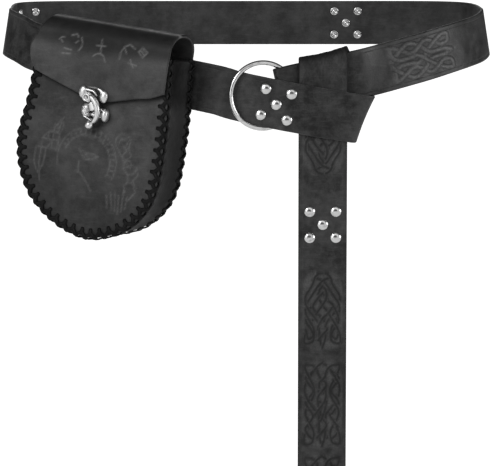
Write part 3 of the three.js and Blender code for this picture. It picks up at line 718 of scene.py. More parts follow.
STRAP_LEATHER = LeatherFinish(
    "strap_leather", Slot.BLACK_LEATHER, deep=0.004, worn=0.063, creased=True, rim=0.16, shine=0.4
)
POUCH_LEATHER = LeatherFinish(
    "pouch_leather", Slot.BLACK_LEATHER, deep=0.024, worn=0.086, rim=0.05, shine=0.32
)
# Painted shade: the pouch's black leather in a much darker copy, for the gusset's side that faces away from the
# light.
SHADED_GUSSET_LEATHER = LeatherFinish(
    "shaded_gusset_leather", Slot.BLACK_LEATHER, deep=0.003, worn=0.016, roughness=0.5, rim=0.04, shine=0.22
)
FLAP_LEATHER = LeatherFinish(
    "smooth_flap_leather", Slot.FLAP_LEATHER, deep=0.015, worn=0.068, roughness=0.4, clouds=60, rim=0.04,
    shine=0.42,
)
LACE_LEATHER = LeatherFinish(
    "lace_leather", Slot.LACE, deep=0.001, worn=0.005, roughness=0.6, grain=0.8, shine=0.2
)
STEEL = MetalFinish("bright_steel", Slot.POLISHED_STEEL, bright=0.84, stained=0.35, roughness=0.15)
SILVER = MetalFinish(
    "old_silver", Slot.CAST_SILVER, bright=0.88, stained=0.7, roughness=0.36, dents=0.008, hollows=True
)
MATERIALS: dict[str, bpy.types.Material] = {}


def dressed(finish: LeatherFinish | MetalFinish) -> bpy.types.Material:
    """Gives a finish's material, built once."""
    if finish.name not in MATERIALS:
        MATERIALS[finish.name] = bpy.data.materials.new(finish.name)
        finish.fill(Tree(MATERIALS[finish.name]))
    return MATERIALS[finish.name]


def place_piece(
    name: str,
    mesh: bpy.types.Mesh,
    finish: LeatherFinish | MetalFinish,
    nodes: list[str],
    body: Body = Body.POUCH_AND_BELT,
) -> None:
    """Puts a piece into the scene in place of its nodes.

    Args:
        name: The piece's name.
        mesh: Its mesh.
        finish: Its finish.
        nodes: The nodes that it stands for.
        body: The body that it rides on.
    """
    piece = bpy.data.objects.new(name, mesh)
    bpy.context.scene.collection.objects.link(piece)
    mesh.materials.append(dressed(finish))
    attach(piece, body.value)
    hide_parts(*nodes)
    LOG.info("%s: %d faces, rides on %s", name, len(mesh.polygons), body.value)


# The belt


KNOT_YAW = math.radians(4)
KNOT_ALONG = np.array([math.cos(KNOT_YAW), math.sin(KNOT_YAW), 0.0])
KNOT_OUT = np.array([math.sin(KNOT_YAW), -math.cos(KNOT_YAW), 0.0])

# Where the pouch hangs: the middle of its stretch of belt, its turn to the side and its slant.
POUCH_ACROSS = -105.0
POUCH_FORWARD = -95.0
YAW = math.radians(-22)
ROLL = math.radians(8.5)


@dataclass
class BeltRun:
    """The belt's way from its fixed end round the waist to the tip of its tail."""

    half_width: float = 207.0
    half_depth: float = 122.5
    front_drop: float = 56.6
    strap_width: float = 40.0
    thickness: float = 2.6
    layer_gap: float = 0.5
    tail_length: float = 398.0
    return_tab: float = 56.0
    ring_across: float = 13.6
    knot_forward: float = -123.0
    ring_radius: float = 26.7
    ring_wire: float = 4.0
    cap_height: float = 2.2
    clearance: float = 0.3
    fixed_slope: float = 12.85
    fixed_rise: float = -1.0
    rivet_seat: float = 0.5
    rivet_back: float = 1.0
    ring_near: float = 2.13
    ring_far: float = -0.45
    pocket_start: float = 0.63
    pocket_end: float = 1.07
    pocket_closed: float = 1.33
    tail_from_ring: float = 2.1
    fold_one_along: float = 2.77
    fold_one_drop: float = 0.463
    fold_one_axis: float = 22.3
    fold_one_heading: float = -9.8
    fold_two_axis: float = 13.2
    fold_two_up: float = 26.4
    stretch_half: float = 60.0
    past_pouch: float = 400.0
    step: float = 0.5

    # Shares of the half width, the half depth and the front drop, and the lean in degrees.
    WAIST = (
        (0.517, -0.905, 0.64, 6), (0.618, -0.822, 0.548, 7), (0.715, -0.715, 0.46, 8), (0.814, -0.585,
            0.36, 8),
        (0.884, -0.465, 0.29, 9), (0.957, -0.285, 0.212, 9), (0.996, -0.09, 0.13, 9), (1, 0.1, 0.09, 9),
        (1, 0.35, 0.06, 8), (0.998, 0.6, 0.045, 6), (0.985, 0.8, 0.03, 4), (0.945, 0.925, 0.015, 4),
        (0.87, 0.98, 0.005, 4), (0.75, 1, 0, 4), (0.3, 1, 0, 4), (-0.3, 1, 0, 4), (-0.75, 1, 0, 4),
        (-0.89, 0.985, 0.005, 4), (-0.975, 0.93, 0.015, 4), (-1.012, 0.8, 0.03, 4), (-1.015, 0.6, 0.045, 6),
        (-1.01, 0.35, 0.06, 8), (-1, 0.1, 0.09, 9), (-0.994, -0.09, 0.115, 9), (-0.971, -0.216, 0.15, 9),
        (-0.924, -0.36, 0.215, 8), (-0.862, -0.488, 0.32, 6),
    )
    # Behind the pouch: shares of the stretch's half length and the front drop, and the lean in degrees.
    POUCH_STRETCH = ((-1, 0.395, 2), (-0.5, 0.5, 1), (0, 0.61, 0), (0.5, 0.72, 1), (1, 0.83, 2))
    # Past the pouch: along in ring radii, out in shares of the top layer's place, down in strap widths.
    FREE = (
        (-1.24, -0.02, -0.085), (-0.98, 0.02, -0.025), (-0.66, 0.18, 0.03), (0.04, 0.6, 0.128),
        (0.55, 0.9, 0.2), (1.06, 1.03, 0.263), (1.81, 1.02, 0.355),
    )

    def __post_init__(self) -> None:
        """Works out the run's frames once."""
        self.layer = self.thickness + self.layer_gap
        self.tail_out = self.thickness + self.cap_height + self.rivet_seat + self.clearance
        self.top_out = self.tail_out + self.layer
        self.hidden_out = -(self.layer + self.thickness + self.rivet_back + self.rivet_seat + self.layer_gap)
        near, far = self.ring_near * self.layer, self.ring_far * self.layer
        self.ring_lean = math.asin((near - far) / (2 * self.ring_radius))
        self.ring_out = (near + far) / 2
        along = self.ring_radius + self.strap_width / 2 + self.tail_from_ring
        self.tail_top = self.knot(along, self.tail_out, self.fold_two_up)
        self.measure()

    def knot(self, along: float, out: float, up: float) -> np.ndarray:
        """Gives a place at the knot: along to the wearer's left from the ring's middle, out and up."""
        middle = np.array([self.ring_across, self.knot_forward, -self.front_drop])
        return middle + KNOT_ALONG * along + KNOT_OUT * out + UP * up

    def fixed(self, along: float, out: float) -> np.ndarray:
        """Gives a place on the slope of the fixed end."""
        return self.knot(along, out, self.fixed_rise + along * math.tan(math.radians(self.fixed_slope)))

    def fold_start(self) -> np.ndarray:
        """Gives the place where the top layer turns into the knot's first fold."""
        along, down = self.fold_one_along * self.ring_radius, self.fold_one_drop * self.strap_width
        return self.knot(along, self.top_out, -down)

    def ring_depth(self, along: float) -> float:
        """Says how far out the leaning ring's plane lies."""
        return self.ring_out - along * math.tan(self.ring_lean)

    def fixed_end(self) -> tuple[list[np.ndarray], list[np.ndarray]]:
        """Runs from the return tab round the ring to the front of the fixed end.

        Returns:
            The places, and the way that the grain side faces at each.
        """
        pocket = self.ring_wire / 2 + self.thickness / 2 + self.clearance
        shares = (self.pocket_start, self.pocket_end, self.pocket_closed)
        start, end, closed = (share * self.ring_radius for share in shares)
        far = start + self.return_tab
        slope = math.radians(self.fixed_slope)
        places, facing = [], []
        for along, out in (
            (far, -self.layer), (closed, -self.layer), (end, self.ring_depth(end) - pocket),
            (start, self.ring_depth(start) - pocket),
        ):
            places.append(self.fixed(along, out))
            facing.append(-KNOT_OUT)
        middle = self.ring_depth(start)
        round_ring = unit(-KNOT_ALONG - UP * math.tan(slope))
        back = math.cos(slope) * pocket
        for turn in np.linspace(0, math.pi, 19)[1:-1]:
            places.append(self.fixed(start - back * math.sin(turn), middle - pocket * math.cos(turn)))
            facing.append(-KNOT_OUT * math.cos(turn) + round_ring * math.sin(turn))
        steps = ((start, middle + pocket), (end, self.ring_depth(end) + pocket), (closed, 0), (far, 0))
        for along, out in steps:
            places.append(self.fixed(along, out))
            facing.append(KNOT_OUT)
        return places, facing

    def waist(self) -> tuple[list[np.ndarray], list[np.ndarray]]:
        """Runs from the fixed end round the body, behind the pouch and through the ring.

        Returns:
            The places, and the way that the grain side faces at each.
        """
        far = self.pocket_start * self.ring_radius + self.return_tab
        rows = [(self.fixed(far, 0), 0), (self.fixed(far + 8, 0.1), 1)]
        for across, depth, drop, lean in self.WAIST:
            place = [across * self.half_width, depth * self.half_depth, -drop * self.front_drop]
            rows.append((np.array(place), lean))
        for along, drop, lean in self.POUCH_STRETCH:
            offset = self.stretch_half * along
            across, forward = POUCH_ACROSS + offset * math.cos(YAW), POUCH_FORWARD + offset * math.sin(YAW)
            rows.append((np.array([across, forward, -drop * self.front_drop]), lean))
        for along, out, drop in self.FREE:
            place = self.knot(along * self.ring_radius, out * self.top_out, -drop * self.strap_width)
            rows.append((place, 0))
        rows.append((self.fold_start(), 0))
        points = np.array([row[0] for row in rows])
        leans = np.array([row[1] for row in rows], float)
        places = np.linspace(0, 1, 901)[1:-1]
        run = centripetal(points, places)
        heading = unit(centripetal(points, places + 1e-4) - centripetal(points, places - 1e-4))
        lean = np.radians(np.interp(places * (len(rows) - 1), np.arange(len(rows)), leans))[:, None]
        level = unit(np.cross(heading, UP))
        upward = UP * np.cos(lean) - level * np.sin(lean)
        return list(run), list(unit(np.cross(heading, upward)))

    def fold(
        self, start: np.ndarray, heading: np.ndarray, axis: np.ndarray, radius: float
    ) -> tuple[list, list]:
        """Turns the strap half round a straight fold.

        Args:
            start: Where it leaves the front.
            heading: The way that it runs there.
            axis: The fold's direction.
            radius: Half the depth of the fold.

        Returns:
            The places, and the way that the grain side faces at each.
        """
        lengthwise = heading @ axis
        crosswise = heading - axis * lengthwise
        pace = np.linalg.norm(crosswise)
        crosswise = crosswise / pace
        middle = start - KNOT_OUT * radius
        places, facing = [], []
        for turn in np.linspace(0, math.pi, 25):
            outward = KNOT_OUT * math.cos(turn) + crosswise * math.sin(turn)
            places.append(middle + outward * radius + axis * (radius * turn / pace * lengthwise))
            facing.append(outward)
        return places, facing

    def knot_run(self) -> tuple[list[np.ndarray], list[np.ndarray]]:
        """Runs round both folds of the knot and down the tail.

        Returns:
            The places, and the way that the grain side faces at each.
        """
        def slope(degrees: float) -> np.ndarray:
            """Gives a direction at the knot, degrees above level."""
            return KNOT_ALONG * math.cos(math.radians(degrees)) + UP * math.sin(math.radians(degrees))

        axis_one, axis_two = slope(90 - self.fold_one_axis), slope(self.fold_two_axis)
        heading_one = slope(self.fold_one_heading)
        first = self.fold(self.fold_start(), heading_one, axis_one, (self.top_out - self.hidden_out) / 2)
        second = self.fold(self.tail_top, UP, axis_two, (self.tail_out - self.hidden_out) / 2)
        second = (second[0][::-1], second[1][::-1])
        leaving = 2 * (heading_one @ axis_one) * axis_one - heading_one
        arriving = 2 * (-UP @ axis_two) * axis_two + UP
        begin, finish = first[0][-1], second[0][0]
        reach = np.linalg.norm(finish - begin) / 3
        pull, push = begin + leaving * reach, finish - arriving * reach
        hidden = []
        for t in np.linspace(0, 1, 31)[1:-1]:
            curve = (1 - t) ** 3 * begin + 3 * (1 - t) ** 2 * t * pull
            hidden.append(curve + 3 * (1 - t) * t**2 * push + t**3 * finish)
        tip = self.tail_top - UP * self.tail_length
        places = first[0] + hidden + second[0] + [tip]
        return places, first[1] + [-KNOT_OUT] * len(hidden) + second[1] + [KNOT_OUT]

    def measure(self) -> None:
        """Joins the runs, softens their corners and works out each station's frame."""
        runs = [self.fixed_end(), self.waist(), self.knot_run()]
        places = np.array([place for run in runs for place in run[0]])
        facing = np.array([face for run in runs for face in run[1]])
        travelled = np.concatenate([[0], np.cumsum(np.linalg.norm(np.diff(places, axis=0), axis=1))])
        keep = np.concatenate([[True], np.diff(travelled) > 1e-6])
        travelled, places, facing = travelled[keep], places[keep], facing[keep]
        at = np.linspace(0, travelled[-1], int(travelled[-1] / self.step))
        centre = np.stack([np.interp(at, travelled, places[:, k]) for k in range(3)], 1)
        facing = np.stack([np.interp(at, travelled, facing[:, k]) for k in range(3)], 1)
        kernel = np.exp(-0.5 * (np.arange(-9, 10) / 3.0) ** 2)
        kernel /= kernel.sum()
        for field in (centre, facing):
            for k in range(3):
                before = 2 * field[0, k] - field[9:0:-1, k]
                after = 2 * field[-1, k] - field[-2:-11:-1, k]
                field[:, k] = np.convolve(np.concatenate([before, field[:, k], after]), kernel, "valid")
        heading = unit(np.gradient(centre, axis=0))
        self.upward = unit(np.cross(facing, heading))
        self.outward = unit(np.cross(heading, self.upward))
        self.centre = centre
        self.distance = np.concatenate([[0], np.cumsum(np.linalg.norm(np.diff(centre, axis=0), axis=1))])
        self.tail_start = self.near(self.tail_top, self.past_pouch)

    def at(self, distance: np.ndarray) -> tuple[np.ndarray, np.ndarray, np.ndarray]:
        """Gives the strap's frames at distances along it.

        Args:
            distance: The distances.

        Returns:
            The middle of the leather, the way out of its grain side and the way up across it.
        """
        fields = []
        for field in (self.centre, self.outward, self.upward):
            fields.append(np.stack([np.interp(distance, self.distance, field[:, k]) for k in range(3)], -1))
        return fields[0], unit(fields[1]), unit(fields[2])

    def near(self, place: np.ndarray, beyond: float = 0.0) -> float:
        """Gives the distance along the strap of its place nearest to a point, past a given length."""
        gap = np.linalg.norm(self.centre - place, axis=1)
        gap[self.distance < beyond] = np.inf
        return float(self.distance[int(gap.argmin())])


TAIL_KNOT = Interlace(
    strands=(
        (
            (-2.7, 20), (-2.7, 9), (-5, 3.5), (-9, 1), (-13, 0.6), (-15.2, 0.6), (-14.9, 3.5), (-13.4,
                7.5), (-10, 13.5),
            (-7, 20), (-7, 25), (-10, 31), (-14.4, 38), (-14.4, 43), (-10.5, 50), (-7.5, 56), (-7.7,
                62), (-9.5, 66),
            (-15.4, 66.6), (-15.2, 58.5), (-13, 53), (-9, 46), (-4, 39), (0, 34), (3.2, 28), (2.7, 20),
        ),
        (
            (0, -1.2), (-4.5, 2), (-8.5, 7), (-12, 12), (-15.2, 18), (-15.2, 24), (-12.5, 30), (-8.5, 35.5),
            (-4, 41), (-2.7, 46), (-2.7, 58), (-1.8, 63), (0, 68.6),
        ),
    )
)
BRAIDED_KNOT = Interlace(
    strands=TAIL_KNOT.strands
    + (
        (
            (-6.4, 3), (-9.5, 7), (-14.6, 11.5), (-11.5, 17), (-8, 22.5), (-14.6, 32), (-11, 38), (-8,
                43.5), (-11.2, 49),
            (-14.8, 54), (-11.5, 60), (-8, 63),
        ),
        ((-4.6, 6), (-2, 11), (3.6, 17), (0, 22.5), (-3.8, 28), (0, 45), (4, 51), (0, 56.5), (-4.6, 61.5)),
    ),
    width=2.7,
)
HOODED_KNOT = Interlace(
    width=2.7,
    strands=(
        ((-4.4, 22), (-9, 26), (-14.4, 39), (-10, 46), (-8, 51), (-12, 54), (-14.6, 46)),
        ((0, 16), (4, 20), (8.4, 27), (4.6, 33), (0, 37), (-4, 46), (0, 50.5), (3.6, 55)),
        (
            (0, -0.5), (-4, 0.4), (-7, 3.4), (-8.5, 8), (-11.5, 13), (-14.8, 18), (-15, 24), (-12.5,
                29.5), (-8, 35),
            (-4, 40), (-2.7, 44), (-2.7, 53), (-1.6, 57), (0, 61.5),
        ),
        (
            (4.5, 4), (0, 6), (-4, 10), (-7.5, 15), (-11, 20), (-14.6, 26), (-14.8, 32), (-12, 38),
            (-8.5, 43.5),
            (-7.2, 49), (-8.5, 56), (-15.3, 57.5), (-15, 49), (-12, 43), (-8, 37), (-4, 31), (0, 26),
            (3.4, 20),
            (3, 14), (0, 10),
        ),
    )
)

@dataclass(frozen=True)
class Tooling:
    """A knot's place on the strap: where it begins along it, and how it is turned and coloured."""

    begin: float
    knot: Interlace
    length: float = 68.6
    stretch: float = 1.0
    upended: bool = False
    darker: float = 0.85
    lighter: float = 0.0
    sanded: float = 0.16
    depth: float = 1.0
    narrow: float = 1.0

    def end(self) -> float:
        """Gives the distance where the knot ends."""
        return self.begin + self.length * self.stretch

    def half(self) -> float:
        """Gives half the length that the knot takes up."""
        return self.length * self.stretch / 2 + 2

    def middle(self) -> float:
        """Gives the distance of the knot's middle."""
        return self.begin + self.length * self.stretch / 2

    def height(self, distance: np.ndarray, across: np.ndarray) -> np.ndarray:
        """Gives the relief at the rows and columns of the strap."""
        down = (distance - self.begin) / self.stretch
        down = self.length - down if self.upended else down
        places = np.broadcast_arrays(across[None, :] / self.narrow, down[:, None])
        return self.knot.height(np.stack(places, -1))


@dataclass
class Strap:
    """The long leather strap with its tooled knots."""

    run: BeltRun
    width: float = 40.0
    thickness: float = 2.6
    rounding: float = 0.9
    relief: float = 0.8
    fixed_end: float = 140.0
    fold: float = 40.0
    # Where the painted shade band before the tail's fold lies, and its slant across the strap.
    fold_dark: float = 7.0
    fold_slope: float = 0.235
    tooled_half: float = 17.0
    fine_step: float = 0.95
    plain_step: float = 3.8

    def columns(self) -> np.ndarray:
        """Places the columns across the strap, close together at its edges."""
        half = self.width / 2
        inner = np.linspace(-half + 0.9, half - 0.9, 50)
        rim = np.array([0.0, 0.1, 0.4])
        return np.concatenate([-half + rim, inner, (half - rim)[::-1]])

    def toolings(self) -> tuple[Tooling, ...]:
        """Sets out the knots along the strap."""
        tail = self.run.tail_start + self.run.tail_top[2]
        return (
            Tooling(
                163.0, replace(TAIL_KNOT, width=3.9), stretch=0.94, darker=0.0, lighter=0.26, sanded=0.0,
                depth=0.4, narrow=0.9,
            ),
            Tooling(tail - 13.0, TAIL_KNOT, darker=0.2, sanded=0.0, depth=0.25),
            Tooling(tail + 58.5, HOODED_KNOT, 61.5, upended=True, narrow=0.94),
            Tooling(tail + 202.5, HOODED_KNOT, 61.5, narrow=0.94),
            Tooling(tail + 277.5, BRAIDED_KNOT, narrow=0.94),
            Tooling(tail + 355.5, BRAIDED_KNOT, narrow=0.94),
        )

    def stations(self) -> np.ndarray:
        """Places the rows along the strap, close together where it is tooled, folded or cut off."""
        zones = [(tooling.begin - 3, tooling.end() + 3) for tooling in self.toolings()]
        spots, at, end = [0.0, 0.08, 0.3, 0.6, 1.0], 1.0, self.run.distance[-1]
        swing = np.linalg.norm(np.gradient(self.run.outward, axis=0), axis=1)
        bend = swing / np.gradient(self.run.distance)
        while at < end - 1.4:
            fine = any(low < at < high for low, high in zones)
            turning = float(np.interp(at, self.run.distance, bend))
            plain = float(np.clip(0.12 / max(turning, 1e-4), 0.6, self.plain_step))
            at += self.fine_step if fine else plain
            spots.append(min(at, end - 1.0))
        return np.unique(np.array(spots + [end - 1.0, end - 0.6, end - 0.3, end - 0.08, end]))

    def build(self) -> None:
        """Builds the strap."""
        across, distance = self.columns(), self.stations()
        centre, outward, upward = self.run.at(distance)
        middle = centre[:, None] + upward[:, None] * across[None, :, None]
        edge = np.minimum(self.width / 2 - np.abs(across)[None, :], distance[:, None])
        edge = np.minimum(edge, (distance[-1] - distance)[:, None])
        relief, mark, dye = (np.zeros(edge.shape) for _ in range(3))
        # Painted shadow: dark lines along the strap's edges near the fixed end and past the tail's fold, where
        # one layer lies over another.
        buckled = ((distance < self.fixed_end) | (distance > self.run.tail_start - self.fold))[:, None]
        dye += buckled * (1 - smooth_step(0.3, 1.3, edge))
        # Painted shade: a dark band across the strap just before the fold at the top of the tail.
        crest = self.run.tail_start - self.fold_dark - self.fold_slope * across[None, :]
        dye += 0.85 * np.exp(-(((distance[:, None] - crest) / 6) ** 2))
        for tooling in self.toolings():
            rows = (distance > tooling.begin - 3.5) & (distance < tooling.end() + 3.5)
            height = tooling.height(distance[rows], across)
            lengthwise = (distance[rows, None] - tooling.middle()) / tooling.half()
            within = (across[None, :] / self.tooled_half) ** 4 + lengthwise**4
            ground = (1 - smooth_step(0.7, 1.2, within)) * (1 - np.clip(height, 0, 1))
            relief[rows] = height * tooling.depth
            mark[rows] = np.clip(height, 0, 1) * tooling.lighter + ground * tooling.sanded
            # Tooled strands are darkened by their own colour; the darkening in the grooves beside them is painted
            # shade.
            dye[rows] += np.clip(height, 0, 1) * tooling.darker + np.clip(-height, 0, 1) * 0.8
        flow = np.stack(np.broadcast_arrays(distance[:, None], across[None, :], 0.0), -1)
        facing = np.broadcast_to(outward[:, None], middle.shape)
        values = {"flow": flow, "mark": mark, "dye": dye}
        relief = self.relief * relief
        form = leather_sheet(middle, edge, self.thickness, self.rounding, relief, values, facing)
        place_piece("strap", form.mesh("strap"), STRAP_LEATHER, ["belt_strap"])


@dataclass
class Ring:
    """The plain round ring that the belt is threaded through."""

    run: BeltRun
    around: int = 120
    across: int = 28

    def build(self) -> None:
        """Builds the ring."""
        lean = self.run.ring_lean
        side = KNOT_ALONG * math.cos(lean) - KNOT_OUT * math.sin(lean)
        turn = np.linspace(0, 2 * math.pi, self.around, endpoint=False)[:, None, None]
        wire = np.linspace(0, 2 * math.pi, self.across, endpoint=False)[None, :, None]
        spoke = side * np.cos(turn) + UP * np.sin(turn)
        axis = np.cross(side, UP)
        half = self.run.ring_wire / 2
        middle = self.run.knot(0, self.run.ring_out, 0)
        rings = middle + spoke * (self.run.ring_radius + half * np.cos(wire))
        rings = rings + axis * half * np.sin(wire)
        index = np.arange(self.around * self.across).reshape(self.around, self.across)
        index = np.concatenate([index, index[:1]])
        index = np.concatenate([index, index[:, :1]], 1)
        form = Form(rings.reshape(-1, 3), [grid_faces(index, True)], {})
        place_piece("ring", form.mesh("ring"), STEEL, ["belt_ring"])


@dataclass
class RivetSet:
    """Five domed rivets, set out like the five on a die."""

    run: BeltRun
    name: str
    at: float
    layers: int = 1
    spacing: float = 21.5
    cap_radius: float = 4.6
    cap_height: float = 2.5
    back_radius: float = 3.8
    back_height: float = 1.2
    cap_rim: float = 0.35
    sides: int = 36

    # Each rivet's name, and its place along and up in shares of the spacing.
    PLACES = (
        ("upper_left", -0.5, 0.5),
        ("upper_right", 0.5, 0.5),
        ("middle", 0, 0),
        ("lower_left", -0.5, -0.5),
        ("lower_right", 0.5, -0.5),
    )

    def profile(self) -> np.ndarray:
        """Draws a rivet from the top of its cap to its hollow back."""
        outer = self.run.thickness / 2 - 0.1
        inner = -self.run.thickness / 2 - (self.layers - 1) * self.run.layer + 0.1
        dome = np.radians(np.linspace(0, 90, 14))
        height = outer + self.cap_rim + (self.cap_height - self.cap_rim) * np.cos(dome)
        cap = np.stack([self.cap_radius * np.sin(dome), height], 1)
        rest = [
            (self.cap_radius + 0.02, outer + 0.15), (self.cap_radius - 0.12, outer), (1.5, outer),
            (1.5, inner),
            (self.back_radius - 0.2, inner), (self.back_radius, inner - 0.3), (self.back_radius - 0.1,
                inner - 0.8),
            (self.back_radius - 0.6, inner - self.back_height), (2.3, inner - self.back_height),
            (1.7, inner - self.back_height + 0.25), (1.5, inner - 0.2), (0.9, inner - 0.15), (0.6,
                inner - 0.6),
            (0, inner - 0.75),
        ]
        return np.concatenate([cap, np.array(rest)])

    def build(self) -> None:
        """Builds the five rivets as one piece."""
        forms, nodes = [], []
        body = turned(self.profile(), self.sides)
        for name, along, up in self.PLACES:
            spot = self.run.at(np.array([self.at + along * self.spacing]))
            centre, outward, upward = (field[0] for field in spot)
            origin = centre + upward * up * self.spacing
            side = np.cross(outward, upward)
            rows = tuple(map(tuple, (side, -upward, outward)))
            forms.append(body.moved(Placement(rows, tuple(origin))))
            nodes.append(self.name + "_" + name)
        place_piece(self.name + "s", Form.joined(forms).mesh(self.name), STEEL, nodes)


# The pouch


POUCH = Placement(
    (
        (math.cos(YAW) * math.cos(ROLL), math.sin(YAW) * math.cos(ROLL), -math.sin(ROLL)),
        (-math.sin(YAW), math.cos(YAW), 0.0),
        (math.cos(YAW) * math.sin(ROLL), math.sin(YAW) * math.sin(ROLL), math.cos(ROLL)),
    ),
    (POUCH_ACROSS, POUCH_FORWARD, 0.0),
)


def arc(
    centre: tuple[float, float], radius: float, start: float, end: float
) -> tuple[tuple[float, float], ...]:
    """Draws part of a circle from one angle to another, in degrees."""
    angles = np.radians(np.linspace(start, end, max(int(abs(end - start) / 8), 2)))
    return tuple((centre[0] + radius * math.cos(a), centre[1] + radius * math.sin(a)) for a in angles)


def panel_marks() -> Marks:
    """Draws the front panel's faint ornament: a banded wheel, a leaf, plaits and rays."""
    wheel = (11.5, -108.0)
    strokes = [arc(wheel, 26.4, -25, 198), arc(wheel, 21, -28, 160)]
    for angle in np.radians(np.arange(-22, 160, 11)):
        direction = np.array([math.cos(angle), math.sin(angle)])
        strokes.append(tuple(map(tuple, (wheel + direction * 21.6, wheel + direction * 24.4))))
    strokes += [
        (
            (3.8, -99.5), (9, -101.2), (15, -101.6), (21.7, -103.3), (15, -106.5), (10.5, -107), (7, -103.5),
            (3.8, -99.5),
        ),
        ((8, -101), (12, -104), (14.5, -106)),
        ((5.3, -109.5), (5.0, -114.5), (6.0, -118.5)),
        ((3, -117.6), (8, -118.6), (11.5, -122.6), (15.4, -127), (18.6, -131.6)),
        ((-13.5, -77), (-19.5, -84.5), (-13.6, -87.4), (-12.4, -80), (-19.5, -84.5)),
        ((-15.6, -78), (-15.9, -89.5), (-25.8, -90.5), (-25.4, -97.4), (-15, -95.6), (-15.9, -89.5)),
        ((-20.8, -83.5), (-21.2, -103)),
        ((-25.8, -90.5), (-31, -96.5), (-30.8, -104), (-21.2, -103.2), (-16.4, -103.6), (-15.2, -95.6)),
        ((-31, -96.5), (-21.4, -97), (-26.2, -104.6), (-31, -104)),
        ((-36.2, -104.5), (-31, -104), (-31.6, -118), (-29.4, -131)),
        ((-36.2, -104.5), (-36.6, -116.5), (-33.6, -122.4), (-30.6, -126.5)),
        ((-26.2, -104.6), (-27.4, -117), (-30.2, -123)),
        arc((41, -88), 6.2, -60, 215),
        arc((41.5, -88.6), 3.4, -90, 200),
        ((35.8, -91.6), (40.2, -97.4), (45.6, -103.4), (50.5, -108)),
        ((46.6, -91), (49.6, -97.6), (44.6, -103.2), (42, -98.4), (45, -94.6)),
        arc((47.2, -104.6), 3.1, 0, 330),
        ((50.3, -104.6), (55.6, -106.4), (57.2, -112.6), (53.4, -117.2), (57, -122.6)),
        ((44, -108), (48.4, -113), (53.6, -111.6), (55.6, -106.4)),
        ((48.4, -113), (49.8, -118.4), (54.8, -120), (56.6, -126.4), (51.4, -133.6)),
        ((49.8, -118.4), (46.4, -122.4), (48.2, -127.4)),
    ]
    strokes += [
        ((32.7, -132.8), (34.3, -142.4)),
        ((36.2, -129.9), (38.6, -143.6)),
        ((39.8, -127.6), (41.2, -144.6)),
        ((43.4, -131.2), (43.8, -146)),
        ((47, -126.4), (46.6, -144)),
        ((50.4, -131), (49.6, -141)),
    ]
    return Marks(tuple(strokes), 0.72)


FLAP_MARKS = Marks(
    (
        ((-5.8, -10.6), (-4.4, -14.5), (-4.8, -17.8), (-7.0, -21.4)),
        ((12.5, -9.4), (12.4, -20.7)),
        ((8.2, -14.5), (16.2, -14.1)),
        ((6.6, -23.4), (9.1, -21.3), (12.3, -20.6), (15.5, -21.9), (17.9, -26.3)),
        ((29.8, -22.0), (30.0, -17.1), (32.8, -11.8), (37.3, -9.5), (42.1, -12.0)),
        ((32.8, -11.8), (35.3, -17.1)),
        ((45.5, -13.9), (48.5, -10.2), (53.3, -13.4), (49.6, -18.0), (45.5, -13.9)),
        ((46.6, -12.2), (51.2, -16.0)),
        ((48.2, -10.6), (52.4, -14.6)),
        ((38.0, -23.9), (45.3, -25.1)),
        ((39.4, -21.2), (42.9, -27.1)),
        ((-25.2, -14.5), (-23.6, -12.6), (-21.0, -12.2)),
        ((-23.3, -15.0), (-22.2, -16.4)),
        ((-14.9, -10.0), (-10.6, -8.6), (-8.6, -10.3)),
        ((-10.6, -15.4), (-8.2, -13.4)),
        ((-19.8, -20.9), (-13.3, -21.5)),
        ((-21.0, -25.2), (-13.8, -24.5)),
    ),
    0.62,
)


# The lever's pin on the pouch, and the line round the clasp, from the pin, along which a painted shadow is laid.
CLASP_AT = (7.3, -56.4)
CLASP_SHADE = ((-3, 1), (8, 5), (17, 1), (13.5, -6), (13.5, -12), (19, -15), (12.5, -20), (7, -25.5))


def clasp_shade(places: np.ndarray) -> np.ndarray:
    """Gives the painted shadow round the clasp, 1 beside it and 0 away from it."""
    return 0.9 * np.exp(-((distance_to_line(places, np.array(CLASP_SHADE) + CLASP_AT) / 4.2) ** 2))


